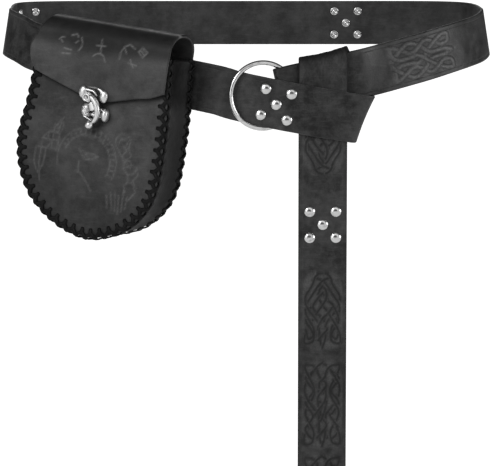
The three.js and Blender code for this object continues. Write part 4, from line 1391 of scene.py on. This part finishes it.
@dataclass
class Pouch:
    """The pouch: front panel, gusset, back with round top and flap, lacing and belt loops."""

    leather: float = 2.6
    panel_width: float = 129.0
    panel_height: float = 154.4
    panel_top: float = -16.0
    panel_middle: float = 11.0
    body_depth: float = 45.8
    back_from_belt: float = 4.6
    crown: float = 3.0
    sink: float = 3.0
    arch_base: float = -11.5
    arch_rise: float = 13.9
    flap_length: float = 46.9
    flap_rise: float = 2.8
    clearance: float = 0.3
    flap_spread: float = 5.0
    ridge_inset: float = 5.0
    swell_share: float = 0.76
    swell_start: float = 0.07
    swell_end: float = 0.79
    ease: float = 1.6
    # The turn of the round top along which the painted ridge highlight runs.
    ridge_highlight_turn: float = 1.9

    OUTLINE = (
        (-0.437, 0, 0.478, 0), (-0.441, 0.11, 0.484, 0.11), (-0.45, 0.23, 0.491, 0.22), (-0.467, 0.36,
            0.5, 0.36),
        (-0.497, 0.505, 0.5, 0.5), (-0.492, 0.59, 0.497, 0.6), (-0.468, 0.678, 0.486, 0.69),
        (-0.435, 0.745, 0.455, 0.775), (-0.372, 0.828, 0.402, 0.848), (-0.272, 0.903, 0.335, 0.907),
        (-0.17, 0.953, 0.262, 0.949), (-0.06, 0.986, 0.16, 0.984), (0.025, 0.999, 0.085, 0.999),
    )
    FLAP_EDGE = (0.65, 0.735, 0.812, 0.885, 0.96, 1, 0.982, 0.918, 0.85, 0.8, 0.69)

    def __post_init__(self) -> None:
        """Works out the depths of the panels and the pouch's edge."""
        self.rear_out = self.back_from_belt + self.leather / 2
        self.front_out = self.back_from_belt + self.body_depth - self.leather / 2
        self.flap_out = self.front_out + self.leather + self.flap_rise - self.clearance
        rows = np.array(self.OUTLINE)
        middle, width, top, height = self.panel_middle, self.panel_width, self.panel_top, self.panel_height
        self.left = np.stack([middle + rows[:, 0] * width, top - rows[:, 1] * height], 1)
        self.right = np.stack([middle + rows[:, 2] * width, top - rows[:, 3] * height], 1)
        edge = np.concatenate([self.left, self.right[::-1]])
        self.edge = spaced(centripetal(edge, np.linspace(0, 1, 400)), 1.0)
        self.away = unit(np.gradient(self.edge, axis=0)) @ np.array([[0.0, 1.0], [-1.0, 0.0]]) * -1
        self.away *= np.sign((self.away * (self.edge - [middle, -90])).sum(1, keepdims=True))

    @staticmethod
    def local(across: np.ndarray, out: np.ndarray, up: np.ndarray) -> np.ndarray:
        """Gives places of the pouch's own frame: across to the right, out and up."""
        across, out, up = np.broadcast_arrays(across, out, up)
        return np.stack([across, -out, up], -1).astype(float)

    def panel_grid(self, rows: np.ndarray, columns: np.ndarray) -> np.ndarray:
        """Spreads a grid over the panel.

        Args:
            rows: Shares of the way down the outline's table.
            columns: Shares of the way across.

        Returns:
            Flat places, across and up.
        """
        left = centripetal(self.left, rows)
        right = centripetal(self.right, rows)
        return left[:, None] * (1 - columns)[None, :, None] + right[:, None] * columns[None, :, None]

    def swell(self, rows: np.ndarray, columns: np.ndarray) -> np.ndarray:
        """Says how much of its crown the panel has at each place of a grid."""
        share = np.clip((rows - self.swell_start) / (self.swell_end - self.swell_start), 0, 1)
        down = np.sin(math.pi * share)
        sideways = np.maximum(0, 1 - ((2 * columns - 1) / self.swell_share) ** 2)
        return down[:, None] * sideways[None, :]

    def edge_distance(self, flat: np.ndarray) -> np.ndarray:
        """Measures how far places of the panel lie from its outline."""
        outline = np.concatenate([self.edge[::2], self.edge[-1:], self.edge[:1]])
        return distance_to_line(flat, outline)

    @staticmethod
    def close_shares(count: int, width: float) -> np.ndarray:
        """Gives shares of a width, even inside and close together near both ends."""
        rim = np.array([0, 0.08, 0.3, 0.65]) / width
        return np.concatenate([rim, np.linspace(1.1 / width, 1 - 1.1 / width, count), 1 - rim[::-1]])

    def build_front(self) -> None:
        """Builds the front panel with its crown and faint ornament."""
        rows = self.close_shares(128, self.panel_height)
        columns = self.close_shares(112, self.panel_width)
        flat = self.panel_grid(rows, columns)
        out = self.front_out + self.crown * self.swell(rows, columns)
        middle = POUCH.world(self.local(flat[..., 0], out, flat[..., 1]))
        edge = self.edge_distance(flat)
        edge[[0, -1]] = 0
        edge[:, [0, -1]] = 0
        mark = panel_marks().strength(flat) * 0.31
        # Painted shade: the panel darker towards the bottom. It is also a little darker near its outline.
        low = 1 - smooth_step(-150, -70, flat[..., 1] + 0.25 * flat[..., 0])
        rim = 1 - smooth_step(0, 20, edge)
        # Painted shadow: a dark band on the panel just under the flap's lower edge, and round the clasp.
        across = self.left[0, 0] + columns * (self.right[0, 0] - self.left[0, 0])
        flap_end = self.arch_base - self.flap_lengths(columns)
        beneath = np.interp(flat[..., 0], across, flap_end) - flat[..., 1]
        shade = np.exp(-((np.maximum(beneath, 0) / 2.6) ** 2)) + clasp_shade(flat)
        values = {"mark": mark, "dye": 0.42 * low + 0.12 * rim + shade}
        form = leather_sheet(middle, edge, self.leather, 1.0, -0.12 * mark, values)
        place_piece("front_panel", form.mesh("front_panel"), POUCH_LEATHER, ["pouch_front_panel"])

    def build_gusset(self) -> None:
        """Builds the gusset between the two panels, drawn in along its middle."""
        rear = self.rear_out + self.leather / 2 + self.clearance
        front = self.front_out - self.leather / 2 - self.clearance
        share = self.close_shares(26, front - rear)
        line, away = self.edge[::2], self.away[::2]
        bulge = np.maximum(0, 1 - ((2 * share - 1) / self.swell_share) ** 2)
        inset = self.leather / 2 + self.sink * bulge[None, :]
        flat = line[:, None] - away[:, None] * inset[..., None]
        out = (rear + share * (front - rear))[None, :]
        middle = POUCH.world(self.local(flat[..., 0], out, flat[..., 1]))
        along = np.arange(len(line), dtype=float)
        edge = np.minimum(np.minimum(share, 1 - share)[None, :] * (front - rear), along[:, None] * 2)
        edge = np.minimum(edge, (along[-1] - along)[:, None] * 2)
        outward = np.concatenate([away, np.zeros((len(away), 1))], 1)[:, [0, 2, 1]]
        outward = np.broadcast_to((outward @ np.array(POUCH.rows))[:, None], middle.shape)
        nothing = np.zeros(edge.shape)
        values = {"mark": nothing, "dye": nothing}
        form = leather_sheet(middle, edge, self.leather, 1.0, None, values, outward)
        place_piece("gusset", form.mesh("gusset"), SHADED_GUSSET_LEATHER, ["pouch_gusset"])

    def flap_lengths(self, columns: np.ndarray) -> np.ndarray:
        """Gives how far the flap hangs down at shares of its width."""
        table = np.stack([np.linspace(0, 1, len(self.FLAP_EDGE)), self.FLAP_EDGE], 1)
        return self.flap_length * centripetal(table, columns)[:, 1]

    def arch(self, turn: np.ndarray, half: float = 0.0) -> tuple[np.ndarray, np.ndarray]:
        """Gives places on the round top.

        Args:
            turn: The turn from the back over to the front, in radians.
            half: How far outside the middle of the leather.

        Returns:
            How far out and how far up they are.
        """
        middle = (self.rear_out + self.flap_out) / 2
        radius = (self.flap_out - self.rear_out) / 2
        out = middle - (radius + half) * np.cos(turn)
        return out, self.arch_base + (self.arch_rise + half) * np.sin(turn)

    def build_back_and_flap(self) -> None:
        """Builds the back panel, the round top and the flap as one piece of leather."""
        columns = self.close_shares(116, self.panel_width)
        rows = self.close_shares(44, self.panel_height)[::-1]
        flat = self.panel_grid(rows, columns)
        back = self.local(flat[..., 0], self.rear_out, flat[..., 1])
        edge = [self.edge_distance(flat)]
        turn = np.linspace(0, math.pi, 49)[:, None]
        left = self.left[0, 0] + self.ridge_inset * np.sin(turn)
        out, up = self.arch(turn)
        out = out - self.ease * smooth_step(0.5, 1.0, turn / math.pi)
        across = left + columns * (self.right[0, 0] - left)
        top = self.local(across, out, up)
        side = np.minimum(columns, 1 - columns)[None, :] * self.panel_width
        edge.append(np.broadcast_to(side, across.shape))
        lengths = self.flap_lengths(columns)
        rim = 1 - np.array([0.9, 0.5, 0.2, 0.06, 0]) / self.flap_length
        down = np.concatenate([np.linspace(0, 1 - 1.4 / self.flap_length, 56)[1:], rim])[:, None]
        left = self.left[0, 0] - self.flap_spread * np.sin(1.1 * math.pi * down)
        across = left + columns * (self.right[0, 0] - left)
        eased = self.flap_out - self.ease * np.exp(-((down * self.flap_length / 14) ** 2))
        flap = self.local(across, eased, self.arch_base - down * lengths)
        edge.append(np.minimum(side, (1 - down) * lengths))
        middle = np.concatenate([back, top, flap])
        edge = np.concatenate(edge)
        edge[[0, -1]] = 0
        edge[:, [0, -1]] = 0
        places = np.stack([middle[..., 0], middle[..., 2]], -1)
        mark = FLAP_MARKS.strength(places)
        mark[: len(back) + len(top) // 2] = 0
        relief = -0.15 * mark
        # Painted shadow round the clasp on the flap; painted shade over the round top, except along its ridge,
        # and down the top of the flap.
        dye = clasp_shade(places)
        dye[: len(back) + len(top)] = 0
        dye[len(back) : len(back) + len(top)] = 0.9 * (1 - np.exp(-(((turn - self.ridge_highlight_turn) / 0.2) ** 2)))
        dye[len(back) + len(top) :] += 0.9 * (1 - smooth_step(2, 17, down * self.flap_length))
        # Painted highlight: a thin light line along the ridge of the round top.
        mark[len(back) : len(back) + len(top)] += 1.4 * np.exp(-(((turn - self.ridge_highlight_turn) / 0.11) ** 2))
        values = {"mark": 0.62 * mark, "dye": dye}
        form = leather_sheet(POUCH.world(middle), edge, self.leather, 1.0, relief, values)
        place_piece("back_and_flap", form.mesh("back_and_flap"), FLAP_LEATHER, ["pouch_back_and_flap"])

    def build_lacing(self, name: str, face: float, sense: float) -> None:
        """Builds the lace over one long edge: two strands that cross on the corner, and short legs beside it.

        Args:
            name: The node's name.
            face: How far out the panel's face lies.
            sense: 1 for the front edge, -1 for the back edge.
        """
        pitch, corner, reach = 9.0, 1.5, 6.9
        travelled = np.arange(len(self.edge)) * 1.0
        count = int(round((len(self.edge) - 6) / pitch))
        step = (len(self.edge) - 6) / count
        angle = np.linspace(0, 2 * math.pi, 13)[:-1]
        section = np.stack([1.55 * np.sign(np.cos(angle)) * np.abs(np.cos(angle)) ** 0.6,
            0.75 * np.sin(angle)], 1)
        legs = np.array([[0, -reach - 0.6, -0.9], [0, -reach + 0.4, 0.2], [0, -4.4, 0.75], [0.14, -2.7,
            0.85]])
        way = np.concatenate([legs, [[0.5, 0, 1.1]], (legs * [-1, -1, 1] + [1, 0, 0])[::-1]])
        forms = []
        for k in range(count):
            for lean in (0, 1):
                line = centripetal(way, np.linspace(0, 1, 26))
                share = line[:, 0] if lean == 0 else 1 - line[:, 0]
                lift = line[:, 2] + (0.45 if lean == (k % 2) else 0.0) * np.exp(-((line[:, 1] / 1.8) ** 2))
                at = 3 + (k + share) * step
                point = np.stack([np.interp(at, travelled, self.edge[:, i]) for i in range(2)], 1)
                away = unit(np.stack([np.interp(at, travelled, self.away[:, i]) for i in range(2)], 1))
                bend = corner * math.pi / 4
                phi = np.clip((line[:, 1] + bend) / (2 * bend), 0, 1) * math.pi / 2
                past = np.maximum(line[:, 1] - bend, 0)
                before = np.minimum(line[:, 1] + bend, 0)
                off = -corner + before + (corner + lift) * np.sin(phi)
                out = face + sense * (-corner - past + (corner + lift) * np.cos(phi))
                flat = point + away * off[:, None]
                path = POUCH.world(self.local(flat[:, 0], out, flat[:, 1]))
                normal = self.local(away[:, 0] * np.sin(phi), sense * np.cos(phi), away[:, 1] * np.sin(phi))
                forms.append(swept(path, normal @ np.array(POUCH.rows), section))
        form = Form.joined(forms)
        zero = np.zeros(len(form.points))
        form.values = {"mark": zero, "dye": zero, "flesh": zero, "edge": zero + 9}
        place_piece(name + "_laces", form.mesh(name), LACE_LEATHER, [name])

    def build_loops(self) -> None:
        """Builds the two belt loops at the back."""
        middle, tab, rise, slack, width, leather = -35.0, 9.0, 3.0, 7.0, 18.0, 2.2
        half = (40 + slack) / 2
        away = self.leather / 2 + self.clearance + leather / 2
        off = -(1.3 + 1.0 + leather / 2)
        foot = middle - half - rise
        turns = [self.arch(np.radians(degrees), away) for degrees in (38, 24, 10)]
        run = [(out, up) for out, up in turns]
        run += [(off, middle + half), (off, middle - half), (self.rear_out - away, foot),
            (self.rear_out - away, foot - tab)]
        line = spaced(centripetal(np.array(run), np.linspace(0, 1, 80)), 1.2)
        columns = self.close_shares(12, width)
        edge = np.minimum(columns, 1 - columns)[None, :] * width
        along = np.arange(len(line)) * 1.2
        edge = np.minimum(edge, np.minimum(along, along[-1] - along)[:, None])
        zero = np.zeros(edge.shape)
        for name, across in (("belt_loop_left", -33.0), ("belt_loop_right", 33.0)):
            places = self.panel_middle + across + (columns - 0.5) * width
            middle_grid = self.local(places[None, :], line[:, :1], line[:, 1:])
            form = leather_sheet(POUCH.world(middle_grid), edge, leather, 0.9, None, {"mark": zero,
                "dye": zero})
            place_piece(name + "_strip", form.mesh(name), POUCH_LEATHER, [name])

    def build(self) -> None:
        """Builds every piece of the pouch."""
        self.build_front()
        self.build_gusset()
        self.build_back_and_flap()
        self.build_lacing("lacing_front", self.front_out + self.leather / 2, 1)
        self.build_lacing("lacing_back", self.rear_out - self.leather / 2, -1)
        self.build_loops()


# The clasp


@dataclass
class Clasp:
    """The cast swing clasp: a plate on the flap, a lever on its pin and a catch on the front panel."""

    pouch: Pouch
    across: float = CLASP_AT[0]
    up: float = CLASP_AT[1]
    lobe_height: float = 2.4
    lever_thickness: float = 2.6
    gap: float = 0.3
    catch_clear: float = 0.6
    panel_share: float = 0.3
    foot: float = 0.3
    voxel: float = 0.2

    def __post_init__(self) -> None:
        """Works out how far out each casting lies."""
        pouch = self.pouch
        self.plate_out = pouch.flap_out + pouch.leather / 2
        self.lever_out = self.plate_out + self.gap + self.lobe_height + self.gap
        self.lever_top = self.lever_out + self.lever_thickness
        swell = math.sin(math.pi * (self.panel_share - pouch.swell_start) / (pouch.swell_end - pouch.swell_start))
        self.catch_out = pouch.front_out + pouch.leather / 2 + pouch.crown * swell
        self.catch_height = self.lever_out - self.catch_clear - self.catch_out

    def bead(self, across: float, up: float, half: tuple[float, float], height: float, out: float) -> Form:
        """Makes a rounded boss, flat at its back.

        Args:
            across: Its place from the pivot.
            up: Its place from the pivot.
            half: Half its width and half its height.
            height: How far it stands out.
            out: Where its back lies.

        Returns:
            The boss.
        """
        dome = np.radians(np.linspace(0, 90, 12))
        foot = -self.foot / height
        profile = np.concatenate([np.stack([np.sin(dome), np.cos(dome)], 1), [[1.0, foot], [0.0, foot]]])
        form = turned(profile, 40)
        points = form.points * [half[0], half[1], height]
        local = np.stack([across + points[:, 0], -(out + points[:, 2]), up + points[:, 1]], 1)
        return Form(local, [face[:, ::-1] for face in form.faces], {})

    def bar(self, rows: list[tuple[float, float, float]], out: float, thickness: float) -> Form:
        """Makes a half-round bar through places from the pivot.

        Args:
            rows: Across, up and width at each place.
            out: Where its back lies.
            thickness: How far it stands out.

        Returns:
            The bar.
        """
        table = centripetal(np.array(rows, float), np.linspace(0, 1, 40))
        path = np.stack([table[:, 0], np.full(len(table), -out), table[:, 1]], 1)
        angle = np.linspace(0, math.pi, 11)
        round_side = np.stack([np.cos(angle), np.sin(angle) ** 0.8], 1)
        section = np.concatenate([round_side, [[-0.96, -0.1], [0.96, -0.1]]])
        fade = np.sqrt(np.clip(np.minimum(np.linspace(0, 1, 40), np.linspace(1, 0, 40)) * 9, 0.02, 1))
        scale = np.stack([table[:, 2] / 2 * fade, thickness * (0.55 + 0.45 * fade)], 1)
        return swept(path, np.tile([0.0, -1.0, 0.0], (len(path), 1)), section, scale)

    def hoop(self, across: float, up: float, radius: float, wire: float, out: float) -> Form:
        """Makes a ring of wire that lies flat."""
        turn = np.linspace(0, 2 * math.pi, 41)
        path = np.stack([across + radius * np.cos(turn), np.full(41, -out), up + radius * np.sin(turn)], 1)
        angle = np.linspace(0, 2 * math.pi, 13)[:-1]
        section = wire * np.stack([np.cos(angle), np.sin(angle)], 1)
        return swept(path, np.tile([0.0, -1.0, 0.0], (41, 1)), section)

    def cast(self, name: str, forms: list[Form], node: str, body: Body) -> None:
        """Melts the forms into one casting and dresses it.

        Args:
            name: The piece's name.
            forms: Its forms, drawn from the pivot.
            node: The node that it replaces.
            body: The body that it rides on.
        """
        form = Form.joined(forms)
        offset = self.pouch.local(self.across, 0.0, self.up)
        rough = Form(POUCH.world(form.points + offset), form.faces, {}).mesh(name + "_rough")
        scratch = bpy.data.objects.new(name + "_rough", rough)
        bpy.context.scene.collection.objects.link(scratch)
        remesh = scratch.modifiers.new("melt", "REMESH")
        remesh.mode = "VOXEL"
        remesh.voxel_size = self.voxel * TO_METRES
        soften = scratch.modifiers.new("soften", "SMOOTH")
        soften.iterations = 9
        soften.factor = 0.5
        evaluated = scratch.evaluated_get(bpy.context.evaluated_depsgraph_get())
        mesh = bpy.data.meshes.new_from_object(evaluated)
        bpy.data.objects.remove(scratch)
        mesh.name = name
        mesh.polygons.foreach_set("use_smooth", np.ones(len(mesh.polygons), bool))
        self.hollows(mesh, -form.points[:, 1].max())
        place_piece(name, mesh, SILVER, [node], body)

    def hollows(self, mesh: bpy.types.Mesh, out: float) -> None:
        """Marks the mesh's hollows, where tarnish stays, and its foot, where painted shade is laid.

        Args:
            mesh: The casting.
            out: How far out its back lies.
        """
        count = len(mesh.vertices)
        points = np.empty(count * 3, np.float32)
        mesh.vertices.foreach_get("co", points)
        points = points.reshape(-1, 3).astype(float)
        normals = np.empty(count * 3, np.float32)
        mesh.vertices.foreach_get("normal", normals)
        normals = normals.reshape(-1, 3)
        pairs = np.empty(len(mesh.edges) * 2, np.int32)
        mesh.edges.foreach_get("vertices", pairs)
        pairs = pairs.reshape(-1, 2)
        lift = np.zeros(count)
        links = np.zeros(count)
        for one, two in ((0, 1), (1, 0)):
            step = ((points[pairs[:, two]] - points[pairs[:, one]]) * normals[pairs[:, one]]).sum(1)
            np.add.at(lift, pairs[:, one], step)
            np.add.at(links, pairs[:, one], 1)
        hollow = lift / np.maximum(links, 1) * 1e6
        for _ in range(3):
            spread = np.zeros(count)
            for one, two in ((0, 1), (1, 0)):
                np.add.at(spread, pairs[:, one], hollow[pairs[:, two]])
            hollow = 0.4 * hollow + 0.6 * spread / np.maximum(links, 1)
        back = POUCH.world(self.pouch.local(np.zeros(1), np.array([out]), np.zeros(1)))[0]
        outward = POUCH.world(self.pouch.local(np.zeros(1), np.array([out + 1]), np.zeros(1)))[0] - back
        # Painted shade: darkest within half a millimetre of the casting's back, where it sits on the leather,
        # fading out by one and a half.
        foot = 1 - smooth_step(0.5, 1.5, (points / TO_METRES - back) @ outward)
        layer = mesh.attributes.new("hollow", "FLOAT", "POINT")
        layer.data.foreach_set("value", np.clip(0.5 * hollow / 14 + foot, 0, 1).astype(np.float32))

    def build(self) -> None:
        """Builds the three castings."""
        out, lobe = self.plate_out, self.lobe_height
        plate = [
            self.bead(-5.0, 3.5, (3.7, 5.2), lobe + 0.35, out),
            self.bead(13.7, 2.3, (3.6, 5.2), lobe + 0.35, out),
            self.bar([(-5.0, 5.6, 2.4), (-1.5, 7.4, 1.6), (4, 8.2, 1.5), (8.4, 8.0, 1.5)], out, 0.4),
            self.bar([(7.4, 8.2, 1.4), (10.0, 7.4, 2.6), (12.6, 5.0, 4.2), (13.8, 2.4, 4.6)], out, 2.2),
            self.bar([(-4.0, 6.2, 2.6), (0.6, 5.9, 2.4), (5.0, 5.2, 2.2), (8.3, 1.9, 1.5)], out, lobe),
            self.bead(0, 0, (4.4, 4.4), lobe + 0.35, out),
            self.bead(0, 0, (1.5, 1.5), self.lever_top + 1.0 - out, out),
        ]
        self.cast("clasp_plate_casting", plate, "clasp_plate", Body.POUCH_AND_BELT)
        out, thick = self.lever_out, self.lever_thickness
        arm = [(2.4, 2.2, 3.2), (6.4, -0.4, 4.6), (9.8, -4.6, 4.8), (11.4, -9.8, 4.7), (10.8, -15.4,
            4.3), (7.8, -20.6, 3.4)]
        lever = [
            self.hoop(0, 0, 2.55, 0.85, out + 1.2),
            self.bar(arm, out, thick + 0.7),
            self.bar([(4.0, -3.4, 4.6), (5.6, -6.6, 5.8), (7.0, -10.0, 5.6)], out, 0.9),
            self.bar([(11, -12.4, 2.8), (8.6, -12.7, 2.6), (7.0, -12.6, 2.4)], out, 1.2 * thick),
            self.bead(5.2, -21.8, (3.5, 3.4), 1.3 * thick, out),
        ]
        self.cast("clasp_lever_casting", lever, "clasp_lever", Body.LEVER)
        out, height = self.catch_out, self.catch_height
        catch = [
            self.bead(-0.9, -10.5, (4.7, 6.0), height, out),
            self.bead(16.2, -12.3, (3.5, 5.9), height + 0.3, out),
            self.bar([(11.6, -7.6, 1.5), (13.6, -7.9, 2.2), (15.8, -9.4, 2.8)], out, height),
            self.bead(2.9, -13.0, (2.3, 2.3), self.lever_top - out, out),
            self.bar([(-2.6, -15.0, 2.0), (0.8, -16.2, 2.1), (4.4, -17.5, 2.0), (7.4, -18.4, 1.6)],
                out, height),
            self.bar([(-3.6, -11.4, 4.0), (2, -12.8, 4.4), (8, -13.2, 5), (13, -13, 4.2), (17, -12.6,
                4)], out, 0.3 * height),
        ]
        for drop in (0.0, 3.4):
            ridge = [(-3.0, -7.4 - drop, 1.8), (-1.2, -9.0 - drop, 2.4), (1.6, -11.6 - drop, 2.2)]
            catch.append(self.bar(ridge, out, height + 0.5))
        self.cast("clasp_catch_casting", catch, "clasp_catch", Body.POUCH_AND_BELT)


# The studio


@dataclass
class Studio:
    """The pale floor, the soft light and the camera."""

    floor_height: float = -0.46
    floor_size: float = 30.0
    floor_glow: float = 0.4
    eye: tuple[float, float, float] = (0.0, -1.915, 0.020)
    tilt: float = 6.03
    lens: float = 160.83

    WALLS = (
        ((0, -1, 0.12), 60, 10, 0.85), ((0, -1, 0.02), 30, 17, -0.84), ((-0.72, -0.69, 0.16), 32, 12,
            1.0), ((0.96, -0.28, 0.06), 23, 8, 4.4),
        ((0, 1, 0.2), 14, 4, 1.3),
    )

    def build_floor(self) -> None:
        """Lays the pale floor."""
        mesh = bpy.data.meshes.new("floor")
        size, z = self.floor_size, self.floor_height
        corners = [(-size, -size, z), (size, -size, z), (size, size, z), (-size, size, z)]
        mesh.from_pydata(corners, [], [(0, 1, 2, 3)])
        floor = bpy.data.objects.new("floor", mesh)
        bpy.context.scene.collection.objects.link(floor)
        material = bpy.data.materials.new("pale_floor")
        tree = Tree(material)
        seen = tree.add("ShaderNodeLightPath", output="Is Camera Ray")
        glow = tree.blend(seen, grey(self.floor_glow), grey(1.0))
        sockets = {
            "Base Color": grey(0.6),
            "Roughness": 0.9,
            "Emission Color": glow,
            "Emission Strength": 1.0,
        }
        for key, value in sockets.items():
            tree.set(tree.shader.inputs[key], value)
        mesh.materials.append(material)

    def build_surroundings(self) -> None:
        """Sets the studio's soft light: white walls of light in front, darkness overhead and behind."""
        world = bpy.data.worlds.new("studio")
        bpy.context.scene.world = world
        tree = Tree(world)
        direction = tree.add("ShaderNodeTexCoord", output="Generated")
        light = 0.07
        for aim, wide, narrow, strength in self.WALLS:
            length = math.sqrt(sum(part * part for part in aim))
            towards = tuple(part / length for part in aim)
            inputs = {0: direction, 1: towards}
            near = tree.add("ShaderNodeVectorMath", {"operation": "DOT_PRODUCT"}, inputs, "Value")
            edges = (math.cos(math.radians(wide)), math.cos(math.radians(narrow)))
            light = near.between(*edges) * strength + light
        seen = tree.add("ShaderNodeLightPath", output="Is Camera Ray")
        brightness = seen * 1.2 + (1 - seen) * light
        tree.set(tree.shader.inputs["Strength"], brightness)
        tree.set(tree.shader.inputs["Color"], grey(1.0))

    def add_lamp(self, name: str, place: tuple[float, float, float], size: tuple[float, float],
        power: float) -> None:
        """Hangs a soft lamp that looks at the middle of the belt.

        Args:
            name: The lamp's name.
            place: Where it hangs, in metres.
            size: Its width and height.
            power: Its power in watts.
        """
        lamp = bpy.data.lights.new(name, "AREA")
        lamp.shape = "RECTANGLE"
        lamp.size, lamp.size_y = size
        lamp.energy = power
        piece = bpy.data.objects.new(name, lamp)
        piece.location = place
        aim = np.array([0.0, 0.0, -0.12]) - np.array(place)
        level = math.hypot(aim[0], aim[1])
        piece.rotation_euler = (math.atan2(level, -aim[2]), 0.0, math.atan2(-aim[0], aim[1]))
        bpy.context.scene.collection.objects.link(piece)

    def build_camera(self) -> None:
        """Sets up the camera where the photograph was taken from."""
        lens = bpy.data.cameras.new("camera")
        lens.lens = self.lens
        lens.sensor_width = 36
        camera = bpy.data.objects.new("camera", lens)
        camera.location = self.eye
        camera.rotation_euler = (math.radians(90 - self.tilt), 0, 0)
        bpy.context.scene.collection.objects.link(camera)
        bpy.context.scene.camera = camera

    def build(self) -> None:
        """Builds the studio."""
        self.build_floor()
        self.build_surroundings()
        self.add_lamp("front_left", (-1.3, -1.9, 1.3), (0.9, 0.9), 14)
        self.build_camera()
        bpy.context.scene.view_settings.view_transform = "Standard"


def main() -> None:
    """Builds the whole object and its studio."""
    logging.basicConfig(level=logging.INFO, format="%(message)s")
    run = BeltRun()
    Strap(run).build()
    Ring(run).build()
    sets = (
        ("back_rivet", run.near(np.array([91.9, run.half_depth, 0.0])), 1),
        ("side_rivet", run.near(np.array([-203.5, 113.0, 0.0])), 1),
        ("ring_rivet", run.near(run.knot(10.4, run.top_out, -7), 400), 1),
        ("tail_rivet", run.near(run.tail_top - UP * 132, 400), 1),
        ("fixed_rivet", run.near(run.fixed(1.95 * run.ring_radius, 0), run.return_tab), 2),
    )
    for name, at, layers in sets:
        RivetSet(run, name, at, layers).build()
    pouch = Pouch()
    pouch.build()
    Clasp(pouch).build()
    Studio().build()


if __name__ == "__main__":
    main()
